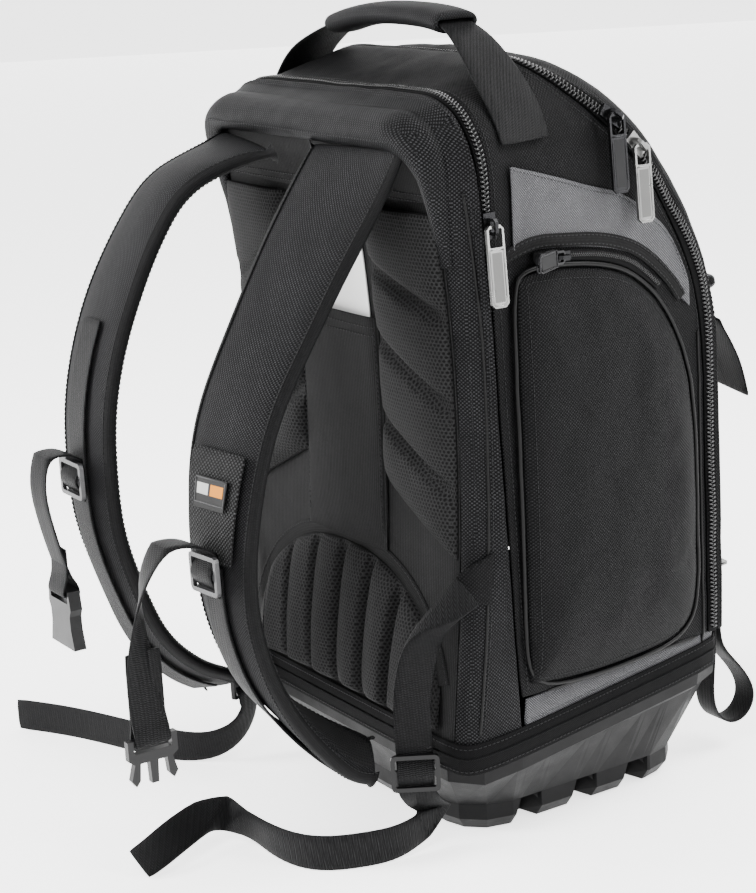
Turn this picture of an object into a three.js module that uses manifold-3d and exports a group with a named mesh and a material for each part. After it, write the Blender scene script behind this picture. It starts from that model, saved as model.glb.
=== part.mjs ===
// A tool backpack with a moulded base tray, built as separate closed pieces.
// Millimetres, +Z up. The origin is the centre of the tray's underside.
// The wearer's back rests against the -Y face, and +X is the pack's right side.
import * as THREE from "three";
import { mergeVertices } from "three/addons/utils/BufferGeometryUtils.js";
import Module from "manifold-3d";

// Driving sizes of the body
const clearance = 0.3;
const wall = 2.5;
const backWidth = 300;
const frontWidth = 264;
const backTop = 502;
const rearZipTop = 508;
const frontZipTop = 524;
const backDepth = 124;
const lumbarCurve = 20;
const lumbarHeight = 310;
const rearSeamTop = 90;
const rearSeamBase = 73;
const frontDepth = 109;
const frontBulge = 20;
const backCorner = 46;
const frontCorner = 58;
const gussetBulge = 5;
const edgeRound = 14;
const hemWidth = 5;

// Driving sizes of the tray and the bands round it
const trayWidth = 236;
const trayLength = 198;
const trayCorner = 38;
const trayWall = 3;
const rimRear = 62;
const rimFront = 80;
const bindingHeight = 22;
const stripeTop = 107;
const grooveDrop = 12;
const notchHeight = 18;
const notchDepth = 20;

// Driving sizes of zips, pockets and pads
const zipWidth = 10;
const zipThickness = 2.4;
const zipProud = 1;
const zipGap = 1;
const rearZipEnd = 431;
const pocketRear = -66;
const pocketFront = 92;
const pocketBottom = 110;
const pocketTop = 398;
const pocketBulge = 16;
const pocketWall = 2;
const pipingRadius = 2;
const pocketZipWidth = 7;
const bandThickness = 1.2;
const padThickness = 13;
const padInner = 52;
const padOuter = 133;
const lumbarThickness = 16;
const lumbarHalfWidth = 122;
const lumbarTop = 192;
const lumbarChannel = 36;
const yokeBottom = 440;
const ridgeBottom = 479;
const sleeveTop = 358;
const cardTop = 424;

// Driving sizes of straps, webbing and hardware
const strapWidth = 68;
const strapThickness = 16;
const webbingWidth = 25;
const webbingThickness = 1.6;
const handleWidth = 40;
const gripWidth = 36;
const gripThickness = 16;
const sliderLength = 17;
const rearSliderDrop = 3;
const darkSliderDrop = 41;
const lightSliderDrop = 60;
const sliderWidth = 9;
const pullLength = 52;
const pullWidth = 13;
const pullThickness = 2.4;
const pullWindow = 12;
const pullLean = 4;
const pocketPullLength = 30;
const pocketPullWidth = 9.1;
const pocketPullWindow = 7;
const pocketPullTilt = 12;
const ringWire = 1.3;

const wasm = await Module();
wasm.setup();

const pack = new THREE.Group();
const bodyCentre = new THREE.Vector3(0, 0, 250);
const vec = (x, y, z) => new THREE.Vector3(x, y, z);
const lerp = THREE.MathUtils.lerp;
const clamp = THREE.MathUtils.clamp;
const radians = THREE.MathUtils.degToRad;

// Finishes
const finishes = {
  blackWeave: { color: 0x1b1b1d, roughness: 0.85, metalness: 0 },
  greyWeave: { color: 0x6f6f76, roughness: 0.6, metalness: 0 },
  blackMesh: { color: 0x222223, roughness: 0.95, metalness: 0 },
  blackWebbing: { color: 0x141415, roughness: 0.8, metalness: 0 },
  zipCoil: { color: 0x18181a, roughness: 0.35, metalness: 0.2 },
  trayPlastic: { color: 0x3a3a3c, roughness: 0.6, metalness: 0 },
  blackPlastic: { color: 0x101011, roughness: 0.35, metalness: 0 },
  rubber: { color: 0x303032, roughness: 0.6, metalness: 0 },
  paper: { color: 0xf2f2f0, roughness: 0.8, metalness: 0 },
  metal: { color: 0xb9b9b6, roughness: 0.35, metalness: 0.9 },
  gunmetal: { color: 0x3c3c40, roughness: 0.35, metalness: 0.8 },
};

function add(name, geometry, finish) {
  const mesh = new THREE.Mesh(geometry, new THREE.MeshStandardMaterial(finishes[finish]));
  mesh.name = name;
  pack.add(mesh);
  return mesh;
}

// Value of a column at a share of the way through a table of rows that each
// hold an "at" share, eased smoothly through the rows.
function along(table, column, at) {
  let next = 1;
  while (next < table.length - 1 && table[next].at < at) next += 1;
  const slope = (row) => {
    const before = table[Math.max(row - 1, 0)];
    const after = table[Math.min(row + 1, table.length - 1)];
    return (after[column] - before[column]) / (after.at - before.at);
  };
  const a = table[next - 1];
  const b = table[next];
  const span = b.at - a.at;
  const t = clamp((at - a.at) / span, 0, 1);
  const startWeight = (1 + 2 * t) * (1 - t) ** 2;
  const endWeight = t * t * (3 - 2 * t);
  const startSlope = t * (1 - t) ** 2 * span * slope(next - 1);
  const endSlope = t * t * (t - 1) * span * slope(next);
  return startWeight * a[column] + endWeight * b[column] + startSlope + endSlope;
}

// Whole numbers from 0 to count, as shares from 0 to 1.
function shares(count) {
  return Array.from({ length: count + 1 }, (_, i) => i / count);
}

function signedVolume(positions, index) {
  let volume = 0;
  const corner = (i) => vec(...positions.slice(index[i] * 3, index[i] * 3 + 3));
  for (let i = 0; i < index.length; i += 3) {
    volume += corner(i).dot(corner(i + 1).cross(corner(i + 2)));
  }
  return volume;
}

// A closed body through loops of equal point counts. The first and last loops
// are closed by strips between point j and point n - 1 - j, or the loops run
// round and join when "ring" is true.
function skin(loops, ring = false) {
  const n = loops[0].length;
  const positions = loops.flat().flatMap((p) => [p.x, p.y, p.z]);
  const index = [];
  const at = (i, j) => (i % loops.length) * n + (j % n);
  const quad = (a, b, c, d) => index.push(a, b, c, a, c, d);
  const spans = ring ? loops.length : loops.length - 1;
  for (let i = 0; i < spans; i += 1) {
    for (let j = 0; j < n; j += 1) {
      quad(at(i, j), at(i, j + 1), at(i + 1, j + 1), at(i + 1, j));
    }
  }
  if (!ring) {
    const last = loops.length - 1;
    for (let j = 0; j < n / 2 - 1; j += 1) {
      quad(at(0, n - 1 - j), at(0, n - 2 - j), at(0, j + 1), at(0, j));
      quad(at(last, j), at(last, j + 1), at(last, n - 2 - j), at(last, n - 1 - j));
    }
  }
  if (signedVolume(positions, index) < 0) index.reverse();
  const geometry = new THREE.BufferGeometry();
  geometry.setAttribute("position", new THREE.Float32BufferAttribute(positions, 3));
  geometry.setIndex(index);
  return geometry;
}

// A closed body between a front grid and a back grid of points.
function slab(front, back, ring = false) {
  return skin(front.map((row, i) => [...row, ...back[i].slice().reverse()]), ring);
}

// Unit normals of a grid, pointing away from a reference point.
function gridNormals(grid, away, ring) {
  const rows = grid.length;
  const row = (i) => (ring ? grid[(i + rows) % rows] : grid[clamp(i, 0, rows - 1)]);
  return grid.map((points, i) => points.map((p, j) => {
    const last = points.length - 1;
    const acrossRows = row(i + 1)[j].clone().sub(row(i - 1)[j]);
    const alongRow = points[Math.min(j + 1, last)].clone().sub(points[Math.max(j - 1, 0)]);
    const normal = acrossRows.cross(alongRow).normalize();
    return normal.dot(p.clone().sub(away)) < 0 ? normal.negate() : normal;
  }));
}

// A sheet of one thickness under an outer surface, on the side towards "away".
function sheet(grid, thickness, ring = false, away = bodyCentre) {
  const normals = gridNormals(grid, away, ring);
  const inner = grid.map((row, i) => row.map((p, j) => (
    p.clone().addScaledVector(normals[i][j], -thickness)
  )));
  return slab(grid, inner, ring);
}

// Booleans between closed geometries
function toSolid(geometry) {
  const bare = geometry.clone();
  bare.deleteAttribute("normal");
  bare.deleteAttribute("uv");
  const merged = mergeVertices(bare, 1e-4);
  return new wasm.Manifold(new wasm.Mesh({
    numProp: 3,
    vertProperties: new Float32Array(merged.attributes.position.array),
    triVerts: new Uint32Array(merged.index.array),
  }));
}

function fromSolid(solid) {
  const mesh = solid.getMesh();
  const geometry = new THREE.BufferGeometry();
  geometry.setAttribute("position", new THREE.BufferAttribute(mesh.vertProperties, 3));
  geometry.setIndex(new THREE.BufferAttribute(mesh.triVerts, 1));
  return geometry;
}

// The body's outline: where each ring runs at a given height
function sideX(y) {
  const share = clamp((y + rearSeamBase) / (frontDepth + rearSeamBase), 0, 1);
  return lerp(backWidth / 2, frontWidth / 2, share);
}

const rimZ = (y) => lerp(rimRear, rimFront, clamp((y + backDepth) / (frontDepth + backDepth), 0, 1));
const seamZ = (y) => rimZ(y) + bindingHeight / 2 + clearance;

const bindingTop = rimRear + bindingHeight;

function backY(z) {
  const span = z > lumbarHeight ? backTop - lumbarHeight : lumbarHeight - rimRear;
  const height = Math.max(z, bindingTop);
  return -backDepth + lumbarCurve * (1 - ((height - lumbarHeight) / span) ** 2);
}

const rearSeamShare = (z) => Math.max(z - bindingTop, 0) / (rearZipTop - bindingTop);
const rearSeamY = (z) => -lerp(rearSeamBase, rearSeamTop, rearSeamShare(z));

// Share of the height, and how far forward the front zip lies there.
const frontZipLine = [
  { at: 0, y: 1 },
  { at: 0.6, y: 1 },
  { at: 0.69, y: 0.965 },
  { at: 0.755, y: 0.85 },
  { at: 0.81, y: 0.69 },
  { at: 0.865, y: 0.52 },
  { at: 0.906, y: 0.36 },
  { at: 0.94, y: 0.19 },
  { at: 1, y: -0.1 },
];
const frontReach = frontDepth + 12;
const frontSeamY = (z) => frontReach * along(frontZipLine, "y", z / frontZipTop) - 12;

// Sample places round a ring, from the left base over the top to the right
// base: up the side, round the corner, then across the top.
const sideShares = [0, 0.15, 0.3, 0.45, 0.6, 0.74, 0.865, 0.925, 1];
const cornerRows = 4;
const topColumns = 6;
const halfRing = [
  ...sideShares.map((share) => ({ share, angle: 0 })),
  ...shares(cornerRows + 1).slice(1, -1).map((s) => ({ share: 1, angle: s * 90 })),
];
const ringSamples = [
  ...halfRing.map((place) => ({ ...place, side: -1 })),
  ...shares(topColumns).map((s) => ({ share: 1, angle: 90, side: 2 * s - 1 })),
  ...halfRing.slice().reverse().map((place) => ({ ...place, side: 1 })),
];

// One ring of the body: half(y) is its half width, y(z) its depth.
function ringPoint(ring, place) {
  const { top, radius, y, half, base } = ring;
  const spring = top - radius;
  const turn = radians(place.angle);
  const foot = base ?? seamZ(y(bindingTop));
  const z = place.angle > 0 ? spring + radius * Math.sin(turn) : lerp(foot, spring, place.share);
  const depth = y(z);
  const reach = half(depth, z) - radius + radius * Math.cos(turn);
  return vec(reach * place.side, depth, z);
}

const flat = (value) => () => value;
const backHalf = backWidth / 2;
const edgeRing = (inset, shift) => ({
  top: backTop - inset,
  radius: backCorner - inset,
  half: flat(backHalf - inset),
  y: (z) => backY(z) + shift,
});
const rearRings = {
  lip: edgeRing(edgeRound, 0),
  round: edgeRing(edgeRound * 0.3, edgeRound * 0.3),
  side: edgeRing(0, edgeRound),
  swell: {
    top: lerp(backTop, rearZipTop, 0.6),
    radius: backCorner,
    half: (y, z) => backHalf + gussetBulge * clamp((z - stripeTop - 20) / 80, 0, 1),
    y: (z) => lerp(backY(z) + edgeRound, rearSeamY(z), 0.5),
  },
  seam: { top: rearZipTop, radius: backCorner + 2, half: sideX, y: rearSeamY },
};
const frontRing = { top: frontZipTop, radius: frontCorner, half: sideX, y: frontSeamY };

// Half the gap that a zip fills, and the narrow seam below the rear zip's end.
const zipHalf = zipWidth / 2;
const seamHalf = 1;
function rearGap(z) {
  const t = clamp((z - (rearZipEnd - 18)) / 18, 0, 1);
  return lerp(seamHalf, zipHalf, t * t * (3 - 2 * t));
}

// Direction across the front zip: square to it down the sides, and fore and
// aft over the top.
const topAcross = vec(0, 0.94, -0.34);
function frontAcross(place, point) {
  const slope = (frontSeamY(point.z + 2) - frontSeamY(point.z - 2)) / 4;
  const outward = vec(0, 1, -slope).normalize();
  const turn = radians(place.angle);
  outward.multiplyScalar(Math.cos(turn)).addScaledVector(topAcross, Math.sin(turn));
  return outward.normalize();
}

const mainBase = stripeTop + clearance / 2;
const frontRingBase = { ...frontRing, base: mainBase };
const rearSeamMain = { ...rearRings.seam, base: mainBase };

// Moves a point of a seam along the pack's side, keeping it on the side plane.
function shiftAlong(place, p, direction, distance) {
  const moved = p.clone().addScaledVector(direction, distance);
  moved.x += place.side * (sideX(moved.y) - sideX(p.y)) * Math.cos(radians(place.angle));
  return moved;
}

function frontEdgePoint(place, offset) {
  const p = ringPoint(frontRingBase, place);
  return shiftAlong(place, p, frontAcross(place, p), offset);
}

function rearEdgePoint(ring, place, offset) {
  const p = ringPoint(ring, place);
  return shiftAlong(place, p, vec(0, 1, 0), offset(p.z));
}

const frontEdge = (offset) => ringSamples.map((place) => frontEdgePoint(place, offset));
const rearEdge = (ring, offset) => ringSamples.map((place) => rearEdgePoint(ring, place, offset));

// Rows between two edges, bowed outwards by "bow" in their middle.
function between(start, end, steps, bow) {
  return shares(steps).map((t) => start.map((p, i) => {
    const q = p.clone().lerp(end[i], t);
    const out = vec(q.x, 0, Math.max(q.z - lumbarHeight, 0) * 0.7).normalize();
    return q.addScaledVector(out, bow * Math.sin(Math.PI * t) * clamp((q.z - stripeTop) / 60, 0, 1));
  }));
}

function rearCompartment() {
  const rows = ["lip", "round", "side", "swell"].map((name) => (
    ringSamples.map((place) => ringPoint(rearRings[name], place))
  ));
  [hemWidth, 0].forEach((back) => rows.push(rearEdge(rearRings.seam, (z) => -rearGap(z) - back)));
  return sheet(rows, wall);
}

function mainCompartment() {
  const back = rearEdge(rearSeamMain, (z) => rearGap(z));
  const rows = between(back, frontEdge(-zipHalf - hemWidth), 3, 0);
  return sheet([...rows, frontEdge(-zipHalf)], wall);
}

// How far the front panel bulges, by share of the ring from base to top.
const frontSwell = [
  { at: 0, swell: 0.55 },
  { at: 0.3, swell: 0.95 },
  { at: 0.6, swell: 1 },
  { at: 0.85, swell: 0.8 },
  { at: 1, swell: 0 },
];

// One row of the front panel: a hem at the zip on either side, and the swell
// between them. The row past the last is the hem over the top.
function frontPanelRow(row) {
  const last = halfRing.length;
  const place = row < last ? { ...halfRing[row], side: 1 } : { share: 1, angle: 90, side: 1 };
  const edge = ringPoint(frontRingBase, place);
  const slope = (frontSeamY(edge.z + 2) - frontSeamY(edge.z - 2)) / 4;
  const outward = vec(0, 1, -slope).normalize();
  const swell = frontBulge * along(frontSwell, "swell", Math.min(row, last) / last);
  const across = frontAcross(place, edge);
  const reach = edge.x - hemWidth * Math.sin(radians(place.angle));
  const hem = row > last ? zipHalf : zipHalf + hemWidth;
  const middle = shares(9).map((s) => {
    const turn = Math.PI * s;
    const p = vec(reach * Math.cos(turn), edge.y, edge.z);
    return p.addScaledVector(across, hem).addScaledVector(outward, swell * Math.sin(turn));
  });
  const end = edge.addScaledVector(across, zipHalf);
  return [end, ...middle, vec(-end.x, end.y, end.z)];
}

function frontPanel() {
  return sheet(frontRows, wall);
}

function backPanel() {
  const lip = rearRings.lip;
  const seat = wall * 0.5 + clearance;
  const inside = { ...lip, top: lip.top - seat, radius: lip.radius - seat, half: flat(lip.half() - seat) };
  const rows = [...halfRing, { share: 1, angle: 90 }].map((place) => {
    const edge = ringPoint(inside, { ...place, side: 1 });
    return shares(6).map((s) => vec(edge.x * (2 * s - 1), edge.y, edge.z));
  });
  return sheet(rows, wall);
}

// Zips: a strip of coil that fills the gap between two edges.
function zipStrip(samples, centreOf, acrossOf, half) {
  const rows = samples.map((place) => {
    const centre = centreOf(place);
    const across = acrossOf(place, centre);
    return [-1, 0, 1].map((side) => centre.clone().addScaledVector(across, side * (half - zipGap)));
  });
  const normals = gridNormals(rows, bodyCentre, false);
  const shifted = (lift) => rows.map((row, i) => (
    row.map((p, j) => p.clone().addScaledVector(normals[i][j], lift))
  ));
  return slab(shifted(zipProud), shifted(zipProud - zipThickness));
}

function rearZip() {
  const samples = ringSamples.filter((place) => ringPoint(rearRings.seam, place).z > rearZipEnd - 1);
  return zipStrip(samples, (place) => ringPoint(rearRings.seam, place), () => vec(0, 1, 0), zipHalf);
}

function frontZip() {
  return zipStrip(ringSamples, (place) => ringPoint(frontRingBase, place), frontAcross, zipHalf);
}

// The body's outline at a height, as the right half from the middle of the
// back to the middle of the front.
function planRight(z) {
  const at = (ring, shift = 0) => {
    const depth = ring.y(z) + shift;
    return vec(ring.half(depth), depth, z);
  };
  const back = at(rearRings.lip);
  const front = shares(5).slice(1).map((s) => {
    const turn = s * Math.PI / 2;
    const swell = frontBulge * frontSwell[0].swell * Math.sin(turn);
    return vec(sideX(frontDepth) * Math.cos(turn), frontDepth + zipHalf + swell, z);
  });
  const middle = vec(sideX(20), 20, z);
  const rear = [vec(back.x / 2, back.y, z), back];
  const sides = [at(rearRings.round), at(rearRings.side), at(rearRings.seam), middle, at(frontRing)];
  return [...rear, ...sides, ...front];
}

function planLoop(z, outset = 0) {
  const right = planRight(z);
  const front = right[right.length - 1];
  const left = right.slice(0, -1).map((p) => vec(-p.x, p.y, p.z)).reverse();
  const loop = [...right, ...left];
  front.x = 0;
  return loop.map((p, i) => {
    const before = loop[(i + loop.length - 1) % loop.length];
    const after = loop[(i + 1) % loop.length];
    const normal = vec(after.y - before.y, before.x - after.x, 0).normalize();
    return p.clone().addScaledVector(normal, outset);
  });
}

// Grid round the pack: a row for each point of the outline, a column for each
// height above or below the sloping rim.
function roundGrid(levels, outset) {
  const loop = planLoop(bindingTop, outset);
  return loop.map((p) => levels.map((level) => vec(p.x, p.y, level(p.y))));
}

function baseBinding() {
  const levels = [(y) => rimZ(y), (y) => rimZ(y) + bindingHeight];
  return sheet(roundGrid(levels, clearance + webbingThickness), webbingThickness, true);
}

function baseStripe() {
  const levels = [seamZ, () => stripeTop - clearance / 2];
  const grid = roundGrid(levels, 0);
  const start = grid.findIndex((row) => row[0].y > -rearSeamBase - 3 && row[0].x > 0);
  const used = grid.slice(start, grid.length - start);
  const nudge = seamHalf + 1;
  used[0].forEach((p) => { p.y += nudge; });
  used[used.length - 1].forEach((p) => { p.y += nudge; });
  return sheet(used, wall);
}

// Tray: a shell through loops round the pack, with notches between its feet.
// Shares along each straight side where a notch starts, is full, and ends.
const longSideNotches = [
  { from: 0.02, to: 0.2 },
  { from: 0.42, to: 0.6 },
  { from: 0.8, to: 0.98 },
];
const endNotches = [
  { from: 0.12, to: 0.32 },
  { from: 0.68, to: 0.88 },
];
const notchSlope = 0.035;

function traySamples() {
  const halfX = trayWidth / 2 - trayCorner;
  const halfY = trayLength / 2 - trayCorner;
  const corners = [[halfX, -halfY], [halfX, halfY], [-halfX, halfY], [-halfX, -halfY]];
  const samples = [];
  corners.forEach(([cx, cy], k) => {
    const startAngle = -90 + 90 * k;
    shares(3).forEach((s) => {
      const a = radians(startAngle + 90 * s);
      const nx = Math.cos(a);
      const ny = Math.sin(a);
      samples.push({ x: cx + trayCorner * nx, y: cy + trayCorner * ny, nx, ny, notch: 0 });
    });
    const [nextX, nextY] = corners[(k + 1) % 4];
    const a = radians(startAngle + 90);
    const normal = [Math.cos(a), Math.sin(a)];
    const notches = k % 2 === 0 ? longSideNotches : endNotches;
    notches.forEach(({ from, to }) => {
      const marks = [[from, 0], [from + notchSlope, 1], [to - notchSlope, 1], [to, 0]];
      marks.forEach(([share, notch]) => {
        samples.push({
          x: lerp(cx, nextX, share) + trayCorner * normal[0],
          y: lerp(cy, nextY, share) + trayCorner * normal[1],
          nx: normal[0],
          ny: normal[1],
          notch,
        });
      });
    });
  });
  return samples;
}

// Where a ray from the pack's axis meets the outline under the binding.
function rimPoint(x, y) {
  const loop = planLoop(bindingTop);
  for (let i = 0; i < loop.length; i += 1) {
    const a = loop[i];
    const b = loop[(i + 1) % loop.length];
    const cross = (p, q) => p.x * q.y - p.y * q.x;
    const edge = vec(b.x - a.x, b.y - a.y, 0);
    const t = cross(a, edge) / cross(vec(x, y, 0), edge);
    const s = Math.abs(edge.x) > Math.abs(edge.y) ? (x * t - a.x) / edge.x : (y * t - a.y) / edge.y;
    if (t > 0 && s >= -1e-9 && s <= 1 + 1e-9) return vec(x * t, y * t, 0);
  }
  return vec(x, y, 0);
}

// Tray levels from the middle of its underside up to the rim. "in" is the
// distance in from the foot outline, "z" the height, for a foot and a notch.
const trayLevels = [
  { footIn: notchDepth + 4, footZ: 0, notchIn: notchDepth + 4, notchZ: 0 },
  { footIn: 7, footZ: 0, notchIn: notchDepth, notchZ: 1 },
  { footIn: 0, footZ: 9, notchIn: notchDepth - 3, notchZ: notchHeight - 2 },
  { footIn: 0, footZ: notchHeight + 2, notchIn: 0, notchZ: notchHeight + 2 },
];

function baseTray() {
  const samples = traySamples();
  const lower = (level, inset, lift) => samples.map((s) => {
    const depth = lerp(level.footIn, level.notchIn, s.notch) + inset;
    const z = lerp(level.footZ, level.notchZ, s.notch) + lift;
    return vec(s.x - s.nx * depth, s.y - s.ny * depth, z);
  });
  const upper = (share, inset, top) => samples.map((s) => {
    const rim = rimPoint(s.x, s.y);
    const x = lerp(s.x, rim.x, share);
    const y = lerp(s.y, rim.y, share);
    const reach = Math.hypot(x, y);
    const keep = (reach - inset) / reach;
    const foot = notchHeight + 2;
    const z = share < 1 ? lerp(foot, rimZ(y) - grooveDrop, share / 0.8) : rimZ(y) + top;
    return vec(x * keep, y * keep, z);
  });
  const rimTop = bindingHeight / 2 - clearance;
  const groove = 1.2;
  const outer = [
    ...trayLevels.map((level) => lower(level, 0, 0)),
    upper(0.8, 0, 0),
    upper(1, groove, -grooveDrop + 3),
    upper(1, 0, 0),
    upper(1, 0, rimTop),
  ];
  const inner = [
    ...trayLevels.map((level) => lower(level, trayWall, trayWall)),
    upper(0.8, trayWall, 0),
    upper(1, trayWall, rimTop),
  ];
  return skin([...outer, ...inner.reverse()]);
}

// Side panels and pockets
const sidePoint = (side, y, z, lift) => vec(side * (sideX(y) + lift), y, z);

// Lower and upper edge of the grey side band as shares of the pocket's height
// above the floor, from the pocket's rear edge to its front edge.
const bandEdges = [
  { at: 0, low: 1.026, high: 1.163 },
  { at: 0.25, low: 1.019, high: 1.133 },
  { at: 0.44, low: 1.009, high: 1.108 },
  { at: 0.61, low: 0.992, high: 1.088 },
  { at: 0.77, low: 0.962, high: 1.045 },
  { at: 0.86, low: 0.928, high: 1.02 },
  { at: 0.95, low: 0.886, high: 0.975 },
  { at: 1, low: 0.872, high: 0.92 },
];

function sideBand(side) {
  const face = (lift) => shares(12).map((at) => {
    const y = lerp(pocketRear, pocketFront, at);
    const edge = (name) => pocketTop * along(bandEdges, name, at);
    return shares(2).map((s) => sidePoint(side, y, lerp(edge("low"), edge("high"), s), lift));
  });
  return slab(face(clearance + bandThickness), face(clearance));
}

// Side pocket outline, as shares of its length and height, from its lower rear
// corner forwards and round.
const pocketOutline = [
  { y: 0, z: 0.02 },
  { y: 0.3, z: 0 },
  { y: 0.6, z: 0 },
  { y: 0.84, z: 0.008 },
  { y: 0.95, z: 0.04 },
  { y: 1, z: 0.11 },
  { y: 1, z: 0.3 },
  { y: 1, z: 0.5 },
  { y: 0.985, z: 0.62 },
  { y: 0.94, z: 0.72 },
  { y: 0.87, z: 0.8 },
  { y: 0.78, z: 0.868 },
  { y: 0.64, z: 0.93 },
  { y: 0.48, z: 0.962 },
  { y: 0.28, z: 0.978 },
  { y: 0.1, z: 0.985 },
  { y: 0.02, z: 0.975 },
  { y: 0, z: 0.94 },
  { y: 0, z: 0.72 },
  { y: 0, z: 0.48 },
  { y: 0, z: 0.24 },
  { y: 0, z: 0.12 },
];
const archFirst = 11;
const archLast = 15;

// The outline point "index", moved out of the outline by a distance.
function outlinePoint(index, outset) {
  const n = pocketOutline.length;
  const at = (i) => {
    const row = pocketOutline[(i + n) % n];
    return { y: lerp(pocketRear, pocketFront, row.y), z: lerp(pocketBottom, pocketTop, row.z) };
  };
  const before = at(index - 1);
  const after = at(index + 1);
  const length = Math.hypot(after.y - before.y, after.z - before.z);
  const here = at(index);
  const y = here.y + (after.z - before.z) / length * outset;
  const z = here.z - (after.y - before.y) / length * outset;
  return { y, z };
}

// How far the pocket stands out, from its seam in to its middle.
const pocketSwell = [
  { scale: 1, swell: 0 },
  { scale: 0.965, swell: 0.25 },
  { scale: 0.88, swell: 0.6 },
  { scale: 0.68, swell: 0.88 },
  { scale: 0.4, swell: 1 },
];

function sidePocket(side) {
  const middleY = lerp(pocketRear, pocketFront, 0.5);
  const middleZ = lerp(pocketBottom, pocketTop, 0.48);
  const loop = ({ scale, swell }, lift) => pocketOutline.map((_, i) => {
    const edge = outlinePoint(i, 0);
    const y = lerp(middleY, edge.y, scale);
    const z = lerp(middleZ, edge.z, scale);
    const sag = lerp(1.08, 0.85, (z - pocketBottom) / (pocketTop - pocketBottom));
    return sidePoint(side, y, z, clearance + lift + pocketBulge * swell * sag);
  });
  const outer = pocketSwell.map((row) => loop(row, pocketWall));
  const inner = pocketSwell.map((row) => loop(row, 0));
  return skin([...inner.reverse(), ...outer]);
}

function pocketPiping(side) {
  const loops = pocketOutline.map((_, i) => shares(6).slice(1).map((s) => {
    const turn = s * 2 * Math.PI;
    const p = outlinePoint(i, pipingRadius * (1 + Math.cos(turn)) + clearance * 2);
    return sidePoint(side, p.y, p.z, clearance + pipingRadius * (1 + Math.sin(turn)));
  }));
  return skin(loops, true);
}

const pocketZipLift = pipingRadius * 2 + clearance * 3;
function pocketZip(side) {
  const face = (lift) => {
    const rows = [];
    for (let i = archFirst; i <= archLast; i += 1) {
      const edges = [pocketZipLift, pocketZipLift + pocketZipWidth];
      rows.push(edges.map((outset) => {
        const p = outlinePoint(i, outset);
        return sidePoint(side, p.y, p.z, lift);
      }));
    }
    return rows;
  };
  return slab(face(clearance + zipThickness), face(clearance));
}

// Pads on the wearer's side
const backFace = (z, lift) => backY(z) - lift;

// A pad between a front surface and the back panel, over rows of places.
function backPad(rows, lift) {
  const at = (base) => rows.map((row) => row.map(({ x, z, height }) => vec(x, backFace(z, base + height), z)));
  const flatRows = rows.map((row) => row.map(({ x, z }) => vec(x, backFace(z, lift), z)));
  return slab(at(lift), flatRows);
}

// Upper back pads: three slanting ribs that stand proud of the middle.
// Each row is a line across the pad. "height" is its share of the yoke's
// height at the inner edge and "fall" how far it drops towards the outer edge.
const padRows = [
  { at: 0, height: 0.565, fall: 0.5, rise: 0.3 },
  { at: 0.04, height: 0.585, fall: 0.5, rise: 0.85 },
  { at: 0.14, height: 0.625, fall: 0.5, rise: 1 },
  { at: 0.24, height: 0.67, fall: 0.5, rise: 0.62 },
  { at: 0.36, height: 0.725, fall: 0.5, rise: 1 },
  { at: 0.48, height: 0.79, fall: 0.48, rise: 0.62 },
  { at: 0.6, height: 0.845, fall: 0.42, rise: 1 },
  { at: 0.72, height: 0.9, fall: 0.34, rise: 0.62 },
  { at: 0.86, height: 0.95, fall: 0.15, rise: 1 },
  { at: 1, height: 0.99, fall: 0, rise: 0.5 },
];

function upperPad(side) {
  const columns = [
    { at: 0, rise: 0.35 },
    { at: 0.08, rise: 0.85 },
    { at: 0.35, rise: 1 },
    { at: 0.7, rise: 0.95 },
    { at: 0.94, rise: 0.6 },
    { at: 1, rise: 0.25 },
  ];
  const span = padOuter - padInner;
  const rows = padRows.map((row) => columns.map((column) => {
    const reach = span * column.at;
    return {
      x: side * (padInner + reach),
      z: yokeBottom * row.height - row.fall * reach,
      height: padThickness * row.rise * column.rise,
    };
  }));
  return backPad(rows, clearance + 0.2);
}

function lumbarPad() {
  const bottom = bindingTop + 4;
  const channels = 2 * Math.floor(lumbarHalfWidth / lumbarChannel);
  const steps = channels * 4;
  const rowShares = [
    { at: 0, rise: 0.3 },
    { at: 0.06, rise: 0.85 },
    { at: 0.35, rise: 1 },
    { at: 0.7, rise: 0.85 },
    { at: 0.93, rise: 0.6 },
    { at: 1, rise: 0.25 },
  ];
  const rows = rowShares.map((row) => shares(steps).map((s) => {
    const reach = 2 * s - 1;
    const x = reach * lumbarHalfWidth * 0.97;
    const top = lerp(bottom, lumbarTop, Math.sqrt(1 - Math.abs(reach * 0.97) ** 2.4));
    const ridge = Math.abs(Math.sin(Math.PI * x / lumbarChannel));
    const edge = Math.min(1, 4 * (1 - Math.abs(reach)) + 0.2);
    return {
      x,
      z: lerp(bottom, Math.max(top, bottom + 12), row.at),
      height: lumbarThickness * row.rise * edge * lerp(0.66, 1, ridge),
    };
  }));
  return backPad(rows, clearance + 0.2);
}

const sleeveDepth = 4.5;
function centreSleeve() {
  const half = padInner - 1.2;
  const places = [
    { x: -half, lift: 0.3 },
    { x: -half + 5, lift: sleeveDepth - 0.6 },
    { x: -half / 2, lift: sleeveDepth },
    { x: half / 2, lift: sleeveDepth },
    { x: half - 5, lift: sleeveDepth - 0.6 },
    { x: half, lift: 0.3 },
  ];
  const bottom = lumbarTop + 3;
  const face = (lift) => shares(6).map((s) => places.map((place) => {
    const z = lerp(bottom, sleeveTop, s);
    const raised = s === 0 ? 0.3 : place.lift;
    return vec(place.x, backFace(z, clearance + raised + lift), z);
  }));
  return slab(face(1.5), face(0));
}

function insertCard() {
  const half = padInner - 12;
  const bottom = lumbarTop + 34;
  const face = (lift) => shares(6).map((s) => {
    const z = lerp(bottom, cardTop, s);
    return [-half, half].map((x) => vec(x, backFace(z, lift), z));
  });
  return slab(face(1.6), face(0.7));
}

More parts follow.
